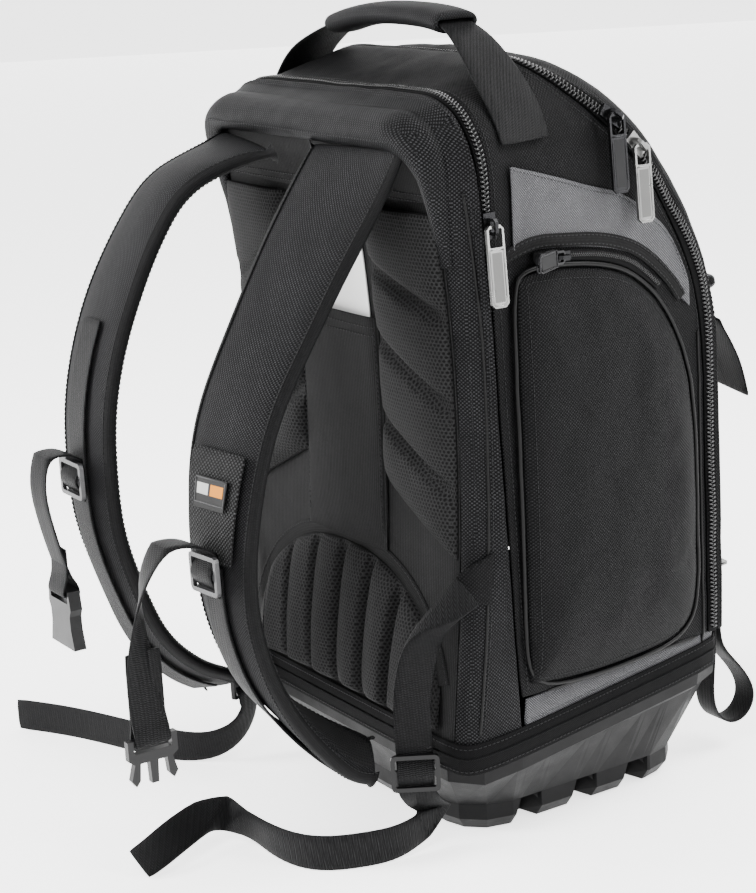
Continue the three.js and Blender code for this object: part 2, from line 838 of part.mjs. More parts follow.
const yokeHalf = backHalf - edgeRound - 3;
const yokeThickness = 1.6;
function yokePanel() {
  const face = (lift) => shares(8).map((s) => {
    const x = lerp(-yokeHalf, yokeHalf, s);
    const low = yokeBottom + 4 * (2 * s - 1) ** 2;
    return shares(3).map((t) => {
      const z = lerp(low, ridgeBottom - clearance, t);
      return vec(x, backFace(z, lift), z);
    });
  });
  return slab(face(clearance + 0.3 + yokeThickness), face(clearance + 0.3));
}

// Padded flap along the top of the back, over the ends of the straps.
const ridgeProfile = [
  { at: 0, lift: 0.75 },
  { at: 0.12, lift: 1 },
  { at: 0.45, lift: 0.95 },
  { at: 0.8, lift: 0.6 },
  { at: 1, lift: 0.2 },
];
const ridgeThickness = 14;
function ridgeFlap() {
  const top = backTop - edgeRound - 1.5;
  const rows = shares(10).map((s) => {
    const reach = 2 * s - 1;
    const ease = Math.sqrt(Math.max(0, 1 - Math.abs(reach) ** 4));
    return ridgeProfile.map((row) => ({
      x: reach * (yokeHalf - 8 * row.at),
      z: lerp(ridgeBottom, top, row.at),
      height: ridgeThickness * row.lift * lerp(0.3, 1, ease),
    }));
  });
  return backPad(rows, clearance + 0.3);
}

// Straps and webbing
// A shoulder strap's centre line. x is a share of strapSpread, y of how far the
// strap stands off the back, and z of the height of its upper end. Width and
// thickness are shares of the strap's, and the angles turn it about the upright
// and roll it about its own length.
const strapSpread = 78;
const strapReach = 130;
const strapTop = ridgeBottom - 3.6;
const rightStrap = [
  { at: 0, x: 0.885, y: 0.02, z: 1, width: 1.55, thickness: 0.55, turn: 0, roll: 0 },
  { at: 0.05, x: 0.9, y: 0.16, z: 0.945, width: 1.3, thickness: 0.8, turn: 12, roll: 0 },
  { at: 0.12, x: 0.91, y: 0.37, z: 0.865, width: 1.12, thickness: 1, turn: 19, roll: 0 },
  { at: 0.21, x: 0.93, y: 0.58, z: 0.778, width: 1.04, thickness: 1, turn: 20, roll: 0 },
  { at: 0.3, x: 0.96, y: 0.785, z: 0.69, width: 1, thickness: 1, turn: 18, roll: 0 },
  { at: 0.4, x: 0.975, y: 0.9, z: 0.61, width: 1, thickness: 1, turn: 14, roll: 0 },
  { at: 0.48, x: 0.985, y: 0.955, z: 0.53, width: 1, thickness: 1, turn: 8, roll: 0 },
  { at: 0.56, x: 1, y: 0.97, z: 0.46, width: 1, thickness: 1, turn: 2, roll: 0 },
  { at: 0.64, x: 1.025, y: 0.955, z: 0.388, width: 0.98, thickness: 1, turn: 0, roll: 0 },
  { at: 0.73, x: 1.07, y: 0.87, z: 0.31, width: 0.94, thickness: 1, turn: 0, roll: 6 },
  { at: 0.82, x: 1.14, y: 0.7, z: 0.24, width: 0.88, thickness: 0.95, turn: 0, roll: 18 },
  { at: 0.91, x: 1.22, y: 0.47, z: 0.178, width: 0.78, thickness: 0.9, turn: 0, roll: 30 },
  { at: 1, x: 1.28, y: 0.3, z: 0.15, width: 0.55, thickness: 0.75, turn: 0, roll: 38 },
];
const leftStrap = [
  { at: 0, x: 0.885, y: 0.042, z: 0.985, width: 1.55, thickness: 0.55, turn: 0, roll: 0 },
  { at: 0.05, x: 0.93, y: 0.2, z: 0.972, width: 1.25, thickness: 0.8, turn: -8, roll: 0 },
  { at: 0.13, x: 0.98, y: 0.5, z: 0.94, width: 1.1, thickness: 1, turn: -8, roll: 0 },
  { at: 0.21, x: 1.02, y: 0.69, z: 0.875, width: 1.02, thickness: 1, turn: -4, roll: 0 },
  { at: 0.3, x: 1.03, y: 0.86, z: 0.795, width: 1, thickness: 1, turn: 0, roll: 0 },
  { at: 0.39, x: 1.03, y: 0.985, z: 0.713, width: 1, thickness: 1, turn: 0, roll: 0 },
  { at: 0.47, x: 1.03, y: 1.06, z: 0.63, width: 1, thickness: 1, turn: 0, roll: 0 },
  { at: 0.55, x: 1.03, y: 1.08, z: 0.54, width: 1, thickness: 1, turn: 0, roll: 0 },
  { at: 0.63, x: 1.03, y: 1.06, z: 0.45, width: 0.98, thickness: 1, turn: 0, roll: 0 },
  { at: 0.72, x: 1.04, y: 0.95, z: 0.35, width: 0.94, thickness: 1, turn: 0, roll: 0 },
  { at: 0.81, x: 1.08, y: 0.82, z: 0.268, width: 0.88, thickness: 0.95, turn: 0, roll: -10 },
  { at: 0.91, x: 1.18, y: 0.58, z: 0.195, width: 0.76, thickness: 0.9, turn: 0, roll: -20 },
  { at: 1, x: 1.28, y: 0.32, z: 0.152, width: 0.55, thickness: 0.75, turn: 0, roll: -26 },
];

// Position and axes of a strap at a share of its length.
function strapFrame(table, side, at) {
  const point = (share) => vec(
    side * strapSpread * along(table, "x", share),
    -backDepth - strapReach * along(table, "y", share),
    strapTop * along(table, "z", share),
  );
  const step = 0.012;
  const ahead = point(Math.min(at + step, 1));
  const behind = point(Math.max(at - step, 0));
  const tangent = ahead.sub(behind).normalize();
  const turn = radians(along(table, "turn", at));
  const roll = radians(along(table, "roll", at));
  const across = vec(Math.cos(turn) * Math.cos(roll), Math.sin(turn) * Math.cos(roll), -Math.sin(roll));
  across.addScaledVector(tangent, -across.dot(tangent)).normalize();
  return {
    origin: point(at),
    tangent,
    across,
    normal: tangent.clone().cross(across),
    width: strapWidth * along(table, "width", at),
    thickness: strapThickness * along(table, "thickness", at),
  };
}

// Half of the strap's section, as shares of its width and half thickness.
const strapSection = [
  { across: -0.5, lift: 0.25 },
  { across: -0.42, lift: 0.66 },
  { across: -0.2, lift: 1 },
  { across: 0.2, lift: 1 },
  { across: 0.42, lift: 0.66 },
  { across: 0.5, lift: 0.25 },
];

function strapSurface(frame, across, lift) {
  return frame.origin.clone()
    .addScaledVector(frame.across, across)
    .addScaledVector(frame.normal, lift);
}

const strapSteps = 26;
function shoulderStrap(table, side) {
  const face = (sign) => shares(strapSteps).map((at) => {
    const frame = strapFrame(table, side, at);
    const half = sign * frame.thickness / 2;
    const row = (place) => strapSurface(frame, place.across * frame.width, place.lift * half);
    return strapSection.map(row);
  });
  return slab(face(1), face(-1));
}

// A cover laid on the outer face of a strap, from one of its rows to another.
const coverSeat = 0.5;
function strapCover(table, side, from, to, columns, lift, thickness) {
  const places = shares(strapSteps).map((_, i) => i).filter((i) => i > from && i < to);
  const face = (extra) => [from, ...places, to].map((place) => {
    const frame = strapFrame(table, side, place / strapSteps);
    const base = frame.thickness / 2 + clearance + lift + extra - (place === from ? coverSeat : 0);
    return columns.map(({ across, drop }) => strapSurface(frame, across, base - drop));
  });
  return slab(face(thickness), face(0));
}

// A flat strip along a line. Each row has a place and the direction across the
// strip there, and "split" steps run between one row and the next.
function ribbon(rows, width, thickness, split = 2) {
  const line = new THREE.CatmullRomCurve3(rows.map((row) => row.place), false, "centripetal");
  const sides = new THREE.CatmullRomCurve3(rows.map((row) => row.across.clone().normalize()));
  const face = (sign) => shares((rows.length - 1) * split).map((s) => {
    const place = line.getPoint(s);
    const across = sides.getPoint(s);
    const tangent = line.getTangent(s);
    across.addScaledVector(tangent, -across.dot(tangent)).normalize();
    const normal = tangent.clone().cross(across);
    return [-0.5, 0.5].map((share) => place.clone()
      .addScaledVector(across, share * width)
      .addScaledVector(normal, sign * thickness / 2));
  });
  return slab(face(1), face(-1));
}

// Geometry drawn in a pose's own axes, moved to the pose.
function inPose(geometry, pose) {
  const matrix = new THREE.Matrix4().makeBasis(pose.x, pose.y, pose.z).setPosition(pose.origin);
  geometry.applyMatrix4(matrix);
  return geometry;
}

// A place in a pose's own axes.
function poseAt(pose, x, y, z) {
  return pose.origin.clone().addScaledVector(pose.x, x).addScaledVector(pose.y, y).addScaledVector(pose.z, z);
}

// A rectangle with rounded corners, drawn into a shape or a hole.
function rounded(path, width, height, radius, centre = { x: 0, y: 0 }) {
  const corners = [[1, -1, -90], [1, 1, 0], [-1, 1, 90], [-1, -1, 180]];
  const points = corners.flatMap(([right, top, from]) => shares(2).map((s) => {
    const turn = radians(from + 90 * s);
    const x = right * (width / 2 - radius) + radius * Math.cos(turn);
    const y = top * (height / 2 - radius) + radius * Math.sin(turn);
    return new THREE.Vector2(centre.x + x, centre.y + y);
  }));
  return path.setFromPoints(points);
}

// A flat plate of an outline, centred on its pose's plane.
function plate(shape, thickness) {
  const settings = { depth: thickness, bevelEnabled: false, curveSegments: 4 };
  const geometry = new THREE.ExtrudeGeometry(shape, settings);
  return geometry.translate(0, 0, -thickness / 2);
}

// Three-bar slide, as on a sternum strap or a strap's lower end. Webbing goes
// over its middle bar and under the outer two. x runs along the webbing.
const slideThickness = 3;
const middleBar = 4;
const outerBar = 3;
const slotLength = 8;
const slotOffset = (middleBar + slotLength) / 2;
const slideLength = middleBar + 2 * (slotLength + outerBar);
const webbingPlay = 2;
function threeBarSlide(pose) {
  const slotWidth = webbingWidth + webbingPlay;
  const shape = rounded(new THREE.Shape(), slideLength, slotWidth + 2 * outerBar, outerBar);
  [-1, 1].forEach((side) => {
    const centre = { x: side * slotOffset, y: 0 };
    shape.holes.push(rounded(new THREE.Path(), slotLength, slotWidth, 1, centre));
  });
  return inPose(plate(shape, slideThickness), pose);
}

// Places along webbing threaded through a slide, from one end to the other.
const threadLift = (slideThickness + webbingThickness) / 2 + clearance * 2;
const threadOut = slideLength / 2 + 2;
function threaded(pose) {
  const places = [
    { x: -threadOut, z: -threadLift },
    { x: -slotOffset - 3.4, z: -threadLift },
    { x: -slotOffset, z: 0 },
    { x: -middleBar / 2 - 0.6, z: threadLift },
    { x: middleBar / 2 + 0.6, z: threadLift },
    { x: slotOffset, z: 0 },
    { x: slotOffset + 3.4, z: -threadLift },
    { x: threadOut, z: -threadLift },
  ];
  return places.map(({ x, z }) => ({ place: poseAt(pose, x, 0, z), across: pose.y.clone() }));
}

// Side-release buckle halves. y runs from the webbing end to the mouth.
const buckleThickness = 9;
const buckleBar = 3;
const buckleSlot = 6;
const buckleNeck = 13;
const buckleHalf = webbingWidth / 2 + 5;
const buckleReach = 18;
const buckleMouth = 42;
const socketDepth = 30;
const prongThickness = 5;

function slotCentre(slot) {
  return { x: 0, y: buckleBar + slot / 2 };
}

const buckleBarSlot = () => (
  rounded(new THREE.Path(), webbingWidth + webbingPlay, buckleSlot, 1, slotCentre(buckleSlot))
);

function buckleMale(pose) {
  const half = buckleHalf;
  const right = [
    [half, 0],
    [half, buckleNeck],
    [half - 4, buckleNeck + 3],
    [half - 1, buckleNeck + buckleReach * 0.75],
    [half - 4, buckleNeck + buckleReach],
    [half - 7, buckleNeck + buckleReach * 0.8],
    [half - 8, buckleNeck + 3],
    [3, buckleNeck + 3],
    [2.4, buckleNeck + buckleReach],
  ];
  const left = right.map(([x, y]) => [-x, y]).reverse();
  const shape = new THREE.Shape([...right, ...left].map(([x, y]) => new THREE.Vector2(x, y)));
  shape.holes.push(buckleBarSlot());
  return inPose(plate(shape, prongThickness), pose);
}

function buckleFemale(pose) {
  const half = buckleHalf;
  const right = [
    [half - 2, 0],
    [half, buckleNeck],
    [half - 2.5, buckleNeck + 5],
    [half - 2.5, buckleNeck + 14],
    [half + 1, buckleMouth],
  ];
  const left = right.map(([x, y]) => [-x, y]).reverse();
  const shape = new THREE.Shape([...right, ...left].map(([x, y]) => new THREE.Vector2(x, y)));
  shape.holes.push(buckleBarSlot());
  const socket = new THREE.BoxGeometry(2 * half - 9, socketDepth, prongThickness + 1);
  socket.translate(0, buckleMouth - socketDepth / 2 + 1, 0);
  const body = toSolid(plate(shape, buckleThickness)).subtract(toSolid(socket));
  return inPose(fromSolid(body), pose);
}

// Webbing that comes down to a buckle, goes round its bar and back up.
function aroundBar(pose, thickness, back) {
  const lift = (thickness + webbingThickness) / 2 + clearance * 2;
  const places = [
    { y: -6, z: lift * 0.55 },
    { y: 0, z: lift },
    { y: buckleBar + 0.4, z: lift },
    { y: buckleBar + buckleSlot / 2, z: 0 },
    { y: buckleBar + 0.4, z: -lift },
    { y: 0, z: -lift },
    { y: -6, z: -lift * 0.55 },
    { y: -12, z: -webbingThickness },
    { y: -back, z: -webbingThickness },
  ];
  return places.map(({ y, z }) => ({ place: poseAt(pose, 0, y, z), across: pose.x.clone() }));
}

// Covers on the right strap's outer face: a coarse patch and, on it, a label.
// They and the strap rails float a little above the strap's facets.
const railLift = 1;
const patchStart = 10;
const patchEnd = 14;
const labelStart = 11;
const labelEnd = 12;
const coverGap = 0.15;
const railTop = 9;
const railEnd = 25;
const patchHalf = 24;
const patchThickness = 1.4;
const labelHalf = 15;
const labelThickness = 1;
const cover = (half) => [-half, half].map((across) => ({ across, drop: 0 }));

function strapPatch() {
  return strapCover(rightStrap, 1, patchStart, patchEnd, cover(patchHalf), railLift, patchThickness);
}

function strapLabel() {
  const lift = railLift + patchThickness + clearance * 5;
  const columns = cover(labelHalf);
  return strapCover(rightStrap, 1, labelStart, labelEnd, columns, lift, labelThickness);
}

// Strap rails, slides and sternum webbing
const slideShare = { right: 0.555, left: 0.555 };
const slideLift = railLift + webbingThickness + slideThickness / 2 + threadLift;

function slidePose(strap, share) {
  const frame = strapFrame(strap.table, strap.side, share);
  const origin = strapSurface(frame, 0, frame.thickness / 2 + clearance + slideLift);
  return { origin, x: frame.tangent, y: frame.across, z: frame.normal };
}

function strapRail(strap, from, to) {
  const edges = [-0.5, 0, 0.5].map((share) => ({ across: share * webbingWidth, drop: 0 }));
  return strapCover(strap.table, strap.side, from, to, edges, railLift, webbingThickness);
}

// Sternum webbing beyond its slide, as distances out from the strap and down,
// in webbing widths, and the turn of its width from the strap's to fore-and-aft.
const sternumRight = [
  { out: 0.5, down: -0.98, turn: 0 },
  { out: 1.2, down: -1, turn: 5 },
  { out: 1.75, down: -0.35, turn: 15 },
  { out: 2, down: 0.8, turn: 40 },
  { out: 2.05, down: 2.2, turn: 75 },
  { out: 1.9, down: 3.5, turn: 90 },
];
const sternumLeft = [
  { out: 0.3, down: -0.85, turn: 0 },
  { out: 0.85, down: -0.8, turn: 0 },
  { out: 1.1, down: 0, turn: 0 },
  { out: 0.9, down: 1.2, turn: 0 },
  { out: 0.55, down: 2.6, turn: 0 },
];
const sternumBack = { right: 57, left: 30 };

function hangingRows(slide, table) {
  return table.map(({ out, down, turn }) => {
    const a = radians(turn);
    const place = slide.origin.clone().add(vec(0, -out * webbingWidth, -down * webbingWidth));
    return { place, across: vec(Math.cos(a), -Math.sin(a), 0) };
  });
}

// Where the buckle's bar hangs, below the last place of the hanging webbing.
const buckleDrop = 10;
function bucklePose(slide, table, lean) {
  const rows = hangingRows(slide, table);
  const last = rows[rows.length - 1];
  const down = vec(0, Math.sin(radians(lean)), -Math.cos(radians(lean)));
  const across = last.across.clone();
  const origin = last.place.addScaledVector(down, buckleDrop);
  return { origin, x: across, y: down, z: across.clone().cross(down) };
}

function sternumWebbing(slide, table, buckle, thickness, back) {
  const start = threaded(slide).reverse();
  const end = aroundBar(buckle, thickness, back);
  return ribbon([...start, ...hangingRows(slide, table), ...end], webbingWidth, webbingThickness, 1);
}

// Adjuster webbing from the pack's side seam through the lock at the strap's
// lower end, with its tail on the floor. x is a share of the pack's half width,
// y of its depth behind the middle, z of the seam's height or, for the tail, of
// the webbing's width. ax, ay and az point across the webbing.
const anchorHeight = 195;
const anchorRun = [
  { x: 1.035, y: 0.94, z: 1, ax: -0.35, ay: 0.35, az: 1 },
  { x: 0.98, y: 1.04, z: 0.93, ax: -0.1, ay: 0.45, az: 0.8 },
  { x: 0.865, y: 1.085, z: 0.83, ax: 0.45, ay: 0.7, az: 0.4 },
  { x: 0.815, y: 1.125, z: 0.7, ax: 0.5, ay: 0.85, az: 0.1 },
  { x: 0.79, y: 1.14, z: 0.56, ax: 0.53, ay: 0.85, az: 0 },
];
const lockPlace = { x: 0.782, y: 1.125, z: 0.318 };
const rightTail = [
  { x: 0.745, y: 1.05, z: 1.45, ax: 0.5, ay: 0.85, az: -0.1 },
  { x: 0.72, y: 0.97, z: 1.15, ax: 0.2, ay: 0.9, az: -0.4 },
  { x: 0.72, y: 1.04, z: 0.7, ax: -0.2, ay: 0.7, az: -0.7 },
  { x: 0.747, y: 1.23, z: 0.53, ax: 0, ay: 0.3, az: -1 },
  { x: 0.707, y: 1.4, z: 0.51, ax: 0, ay: 0, az: -1 },
  { x: 0.64, y: 1.6, z: 0.51, ax: 0, ay: 0, az: -1 },
  { x: 0.52, y: 1.71, z: 0.51, ax: 0, ay: 0, az: -1 },
  { x: 0.33, y: 1.755, z: 0.53, ax: 0, ay: 0.1, az: -1 },
  { x: 0.16, y: 1.765, z: 0.66, ax: 0.15, ay: 0.3, az: -0.95 },
  { x: 0.045, y: 1.83, z: 0.82, ax: 0.4, ay: 0.2, az: -0.85 },
  { x: 0.035, y: 1.97, z: 0.9, ax: 0.7, ay: 0, az: -0.7 },
  { x: 0.1, y: 2.2, z: 0.72, ax: 0.75, ay: 0.3, az: -0.6 },
  { x: 0.13, y: 2.34, z: 0.5, ax: 0.8, ay: 0.4, az: -0.5 },
  { x: 0.125, y: 2.43, z: 0.33, ax: 0.85, ay: 0.4, az: -0.4 },
];
const leftTail = [
  { x: 0.765, y: 1.1, z: 1.55, ax: 0.5, ay: 0.85, az: -0.1 },
  { x: 0.72, y: 1.2, z: 1, ax: 0.35, ay: 0.6, az: -0.7 },
  { x: 0.77, y: 1.36, z: 0.58, ax: 0.2, ay: 0.2, az: -1 },
  { x: 0.9, y: 1.5, z: 0.51, ax: 0, ay: 0, az: -1 },
  { x: 1.07, y: 1.6, z: 0.51, ax: 0, ay: 0, az: -1 },
  { x: 1.27, y: 1.69, z: 0.51, ax: 0, ay: 0, az: -1 },
  { x: 1.48, y: 1.79, z: 0.51, ax: 0, ay: 0, az: -1 },
  { x: 1.67, y: 1.9, z: 0.51, ax: 0, ay: 0, az: -1 },
  { x: 1.88, y: 2.06, z: 0.51, ax: 0, ay: 0, az: -1 },
];

function lockPose(side) {
  const origin = vec(side * backHalf * lockPlace.x, -backDepth * lockPlace.y, anchorHeight * lockPlace.z);
  const y = vec(0.53 * side, 0.85, 0).normalize();
  const x = vec(0, 0, -1);
  return { origin, x, y: y.multiplyScalar(side), z: x.clone().cross(y) };
}

function adjusterWebbing(side, tail) {
  const run = (table, height) => table.map((row) => ({
    place: vec(side * backHalf * row.x, -backDepth * row.y, height * row.z),
    across: vec(row.ax, side * row.ay, side * row.az),
  }));
  const rows = [...run(anchorRun, anchorHeight), ...threaded(lockPose(side)), ...run(tail, webbingWidth)];
  return ribbon(rows, webbingWidth, webbingThickness, 1);
}

// Fabric wing in the side seam, under the upper end of the adjuster webbing.
const wingHeight = 36;
const wingReach = 30;
const wingThickness = 2;
function anchorWing(side) {
  const ring = rearRings.side;
  const foot = seamZ(ring.y(bindingTop));
  const face = (lift) => shares(3).map((s) => {
    const height = anchorHeight + wingHeight * (0.55 - s);
    const share = (height - foot) / (ring.top - ring.radius - foot);
    const seam = ringPoint(ring, { side, angle: 0, share }).add(vec(side * (clearance * 2 + lift), 0, 0));
    const reach = 1 - 0.45 * Math.abs(2 * s - 1);
    const tip = seam.clone().add(vec(-side * 13 * reach, -wingReach * reach, 0));
    tip.z = lerp(height, anchorHeight - 3, 0.4);
    const middle = seam.clone().lerp(tip, 0.5).add(vec(side * 1.5, 0, 0));
    return [seam, middle, tip];
  });
  return slab(face(wingThickness), face(0));
}

// Carry handle over the pack's top, sewn down its sides
const handleY = -50;
const handleTop = 554;
const handleReach = frontWidth / 2;
const sewnAngles = [18, 36];
const gripShare = 0.62;
const handleCrest = [
  { x: 0.95, rise: 0.13, width: 1 },
  { x: 0.74, rise: 0.67, width: 0.85 },
  { x: 0.57, rise: 0.9, width: gripShare },
  { x: 0.43, rise: 0.97, width: gripShare },
  { x: 0.18, rise: 1, width: gripShare },
  { x: -0.07, rise: 1, width: gripShare },
  { x: -0.3, rise: 0.93, width: gripShare },
  { x: -0.47, rise: 0.83, width: gripShare },
  { x: -0.62, rise: 0.69, width: 0.85 },
  { x: -0.8, rise: 0.5, width: 1 },
  { x: -0.95, rise: 0.17, width: 1 },
];
const gripFirst = 2;
const gripLast = 7;

// A place on the main compartment's outer face, at a ring place and a depth.
function mainPoint(place, y, lift) {
  const back = rearEdgePoint(rearSeamMain, place, rearGap);
  const front = frontEdgePoint(place, -zipHalf - hemWidth);
  const turn = radians(place.angle);
  const p = back.clone().lerp(front, (y - back.y) / (front.y - back.y));
  return p.add(vec(place.side * lift * Math.cos(turn), 0, lift * Math.sin(turn)));
}

function handleWebbing() {
  const edges = [-0.5, 0.5].map((share) => handleY + share * handleWidth);
  const sewn = (side) => sewnAngles.map((angle) => (
    edges.map((y) => mainPoint({ share: 1, angle, side }, y, clearance * 2 + webbingThickness))
  ));
  const crest = handleCrest.map(({ x, rise, width }) => (
    [-0.5, 0.5].map((share) => (
      vec(x * handleReach, handleY + share * width * handleWidth, lerp(backTop, handleTop, rise))
    ))
  ));
  return sheet([...sewn(1), ...crest, ...sewn(-1).reverse()], webbingThickness);
}

// The grip is a sleeve with a slot through which the narrowed webbing passes.
function handleGrip() {
  const used = handleCrest.slice(gripFirst, gripLast + 1);
  const section = (width, thickness, squash) => used.map(({ x, rise }, i) => {
    const before = used[Math.max(i - 1, 0)];
    const after = used[Math.min(i + 1, used.length - 1)];
    const height = handleTop - backTop;
    const tangent = vec((after.x - before.x) * handleReach, 0, (after.rise - before.rise) * height).normalize();
    const out = vec(0, 1, 0).cross(tangent).normalize();
    const centre = vec(x * handleReach, handleY, lerp(backTop, handleTop, rise));
    centre.addScaledVector(out, -webbingThickness / 2);
    return shares(10).slice(1).map((s) => {
      const turn = s * 2 * Math.PI;
      const power = (value) => Math.sign(value) * Math.abs(value) ** squash;
      return centre.clone()
        .add(vec(0, power(Math.cos(turn)) * width / 2, 0))
        .addScaledVector(out, power(Math.sin(turn)) * thickness / 2);
    });
  });
  const outer = section(gripWidth, gripThickness, 0.75);
  const inner = section(handleWidth * gripShare + 3, webbingThickness + 2, 0.1);
  return skin([...outer, ...inner.reverse()], true);
}

// Zip sliders and pulls. In a slider's pose x runs across the zip, y up along
// it and z out of the pack. A pull's top bar lies in the slider's bridge.
const plateBottom = zipProud + clearance * 3;
const plateThickness = 3;
const bridgeWidth = 2.4;
const bridgeHalf = 5.4;
const bridgeWire = 1.8;
const pullBar = 2;
const pullChamfer = 2.5;
const pullRim = 1.5;

function zipSlider(pose, barHeight, width = sliderWidth) {
  const base = new THREE.BoxGeometry(width, sliderLength, plateThickness);
  base.translate(0, 0, plateBottom + plateThickness / 2);
  const foot = plateBottom + plateThickness - 0.5;
  const top = barHeight + bridgeWire * 2;
  const outline = [
    [-bridgeHalf, foot],
    [bridgeHalf, foot],
    [bridgeHalf, top - 2],
    [bridgeHalf - 2, top],
    [-bridgeHalf + 2, top],
    [-bridgeHalf, top - 2],
  ];
  const bridge = new THREE.Shape(outline.map(([x, y]) => new THREE.Vector2(x, y)));
  const opening = 2 * (bridgeHalf - bridgeWire);
  const window = rounded(new THREE.Path(), opening, 2 * bridgeWire, 0.8, { x: 0, y: barHeight });
  bridge.holes.push(window);
  const axes = { x: vec(0, 1, 0), y: vec(0, 0, 1), z: vec(1, 0, 0), origin: vec(0, 0, 0) };
  const arch = inPose(plate(bridge, bridgeWidth), axes);
  return inPose(fromSolid(toSolid(base).add(toSolid(arch))), pose);
}

// A pull hangs along its own -y from the middle of its top bar.
function pullTab(pose, length, width, window) {
  const half = width / 2;
  const top = pullBar / 2;
  const low = top - length;
  const outline = [
    [-half + pullChamfer, low],
    [half - pullChamfer, low],
    [half, low + pullChamfer],
    [half, top - pullChamfer],
    [half - pullChamfer, top],
    [-half + pullChamfer, top],
    [-half, top - pullChamfer],
    [-half, low + pullChamfer],
  ];
  const shape = new THREE.Shape(outline.map(([x, y]) => new THREE.Vector2(x, y)));
  const centre = { x: 0, y: -top - window / 2 };
  shape.holes.push(rounded(new THREE.Path(), width - 2 * pullRim, window, 1, centre));
  return inPose(plate(shape, pullThickness), pose);
}

// Pose on a ring of the body at a height, with z square to the pack's side.
function ringPose(ring, height) {
  const foot = ring.base ?? seamZ(ring.y(bindingTop));
  const spring = ring.top - ring.radius;
  const angle = height > spring ? THREE.MathUtils.radToDeg(Math.asin((height - spring) / ring.radius)) : 0;
  const share = Math.min((height - foot) / (spring - foot), 1);
  const turn = radians(angle);
  return { origin: ringPoint(ring, { side: 1, angle, share }), z: vec(Math.cos(turn), 0, Math.sin(turn)) };
}

function sliderPose(ring, height) {
  const { origin, z } = ringPose(ring, height);
  const y = ringPose(ring, height + 3).origin.sub(origin);
  y.addScaledVector(z, -y.dot(z)).normalize();
  return { origin, x: y.clone().cross(z), y, z };
}

// A hanging pull's pose in a slider: its width fore and aft, leaning out from
// the upright by an angle.
function hangingPose(slider, barHeight, lean) {
  const origin = poseAt(slider, 0, 0, barHeight);
  const tilt = radians(lean);
  const x = vec(0, 1, 0);
  const y = vec(-Math.sin(tilt), 0, Math.cos(tilt));
  return { origin, x, y, z: x.clone().cross(y) };
}

const barHeight = 9;
const rearSlider = sliderPose(rearRings.seam, rearZipEnd - rearSliderDrop);
const darkSlider = sliderPose(frontRing, frontZipTop - darkSliderDrop);
const lightSlider = sliderPose(frontRing, frontZipTop - lightSliderDrop);

// Pose of the slider of a side pocket's zip.
function pocketSliderPose(side) {
  const lift = clearance + zipThickness - zipProud;
  const at = (index) => {
    const p = outlinePoint(index, pocketZipLift + pocketZipWidth / 2);
    return sidePoint(side, p.y, p.z, lift);
  };
  const start = at(archLast - 1);
  const y = at(archLast).sub(start).normalize();
  const z = vec(side * (frontDepth + rearSeamBase), (backWidth - frontWidth) / 2, 0).normalize();
  z.addScaledVector(y, -z.dot(y)).normalize();
  return { origin: start.addScaledVector(y, sliderLength * 0.6), x: y.clone().cross(z), y, z };
}

// A pocket's pull lies back along its zip, tilted off the side.
function pocketPullPose(slider, barLift) {
  const tilt = radians(pocketPullTilt);
  const y = slider.y.clone().multiplyScalar(-Math.cos(tilt)).addScaledVector(slider.z, -Math.sin(tilt));
  const x = slider.x.clone();
  return { origin: poseAt(slider, 0, 0, barLift), x, y, z: x.clone().cross(y) };
}

// Front pieces: a daisy of tab, flap, hook, ring and webbing loop in one line
const lineX = 102;
const frontRows = Array.from({ length: halfRing.length + 2 }, (_, row) => frontPanelRow(row));

// A place on the front panel's facets at x and z, lifted off it.
function frontFace(x, z, lift) {
  const columns = frontRows.map((row) => {
    const j = row.findIndex((p, i) => i > 0 && p.x <= x);
    return row[j - 1].clone().lerp(row[j], (row[j - 1].x - x) / (row[j - 1].x - row[j].x));
  });
  const i = Math.max(columns.findIndex((p) => p.z >= z), 1);
  const a = columns[i - 1];
  const b = columns[i];
  const p = a.clone().lerp(b, (z - a.z) / (b.z - a.z));
  return p.add(vec(0, lift, 0));
}

const frontStrip = (table, width, split) => ribbon(
  table.map(({ z, lift }) => ({
    place: frontFace(lineX, z, lift),
    across: frontFace(lineX + width / 2, z, 0).sub(frontFace(lineX - width / 2, z, 0)),
  })),
  width,
  webbingThickness,
  split,
);

const seatLift = webbingThickness / 2 + clearance * 2;
const tabTop = 361;
function frontTab() {
  const table = [
    { z: tabTop, lift: seatLift },
    { z: tabTop - 1, lift: 8 },
    { z: tabTop - 3, lift: 11 },
    { z: tabTop - 8, lift: 11 },
    { z: tabTop - 10, lift: 8 },
    { z: tabTop - 11, lift: seatLift },
  ];
  return frontStrip(table, 16, 1);
}

const flapTop = 333;
const flapWidth = 50;
function frontFlap() {
  const table = [
    { z: flapTop, lift: seatLift },
    { z: flapTop - 6, lift: 3 },
    { z: flapTop - 16, lift: 9 },
    { z: flapTop - 32, lift: 18 },
    { z: flapTop - 48, lift: 23 },
    { z: flapTop - 60, lift: 26 },
  ];
  return frontStrip(table, flapWidth, 1);
}

// A closed loop of round wire
function wireLoop(points, radius, sides) {
  const n = points.length;
  const centre = points.reduce((sum, p) => sum.add(p), vec(0, 0, 0)).divideScalar(n);
  const loops = points.map((p, i) => {
    const tangent = points[(i + 1) % n].clone().sub(points[(i + n - 1) % n]).normalize();
    const out = p.clone().sub(centre);
    out.addScaledVector(tangent, -out.dot(tangent)).normalize();
    const other = tangent.clone().cross(out);
    return shares(sides).slice(1).map((s) => {
      const turn = s * 2 * Math.PI;
      return p.clone()
        .addScaledVector(out, radius * Math.cos(turn))
        .addScaledVector(other, radius * Math.sin(turn));
    });
  });
  return skin(loops, true);
}

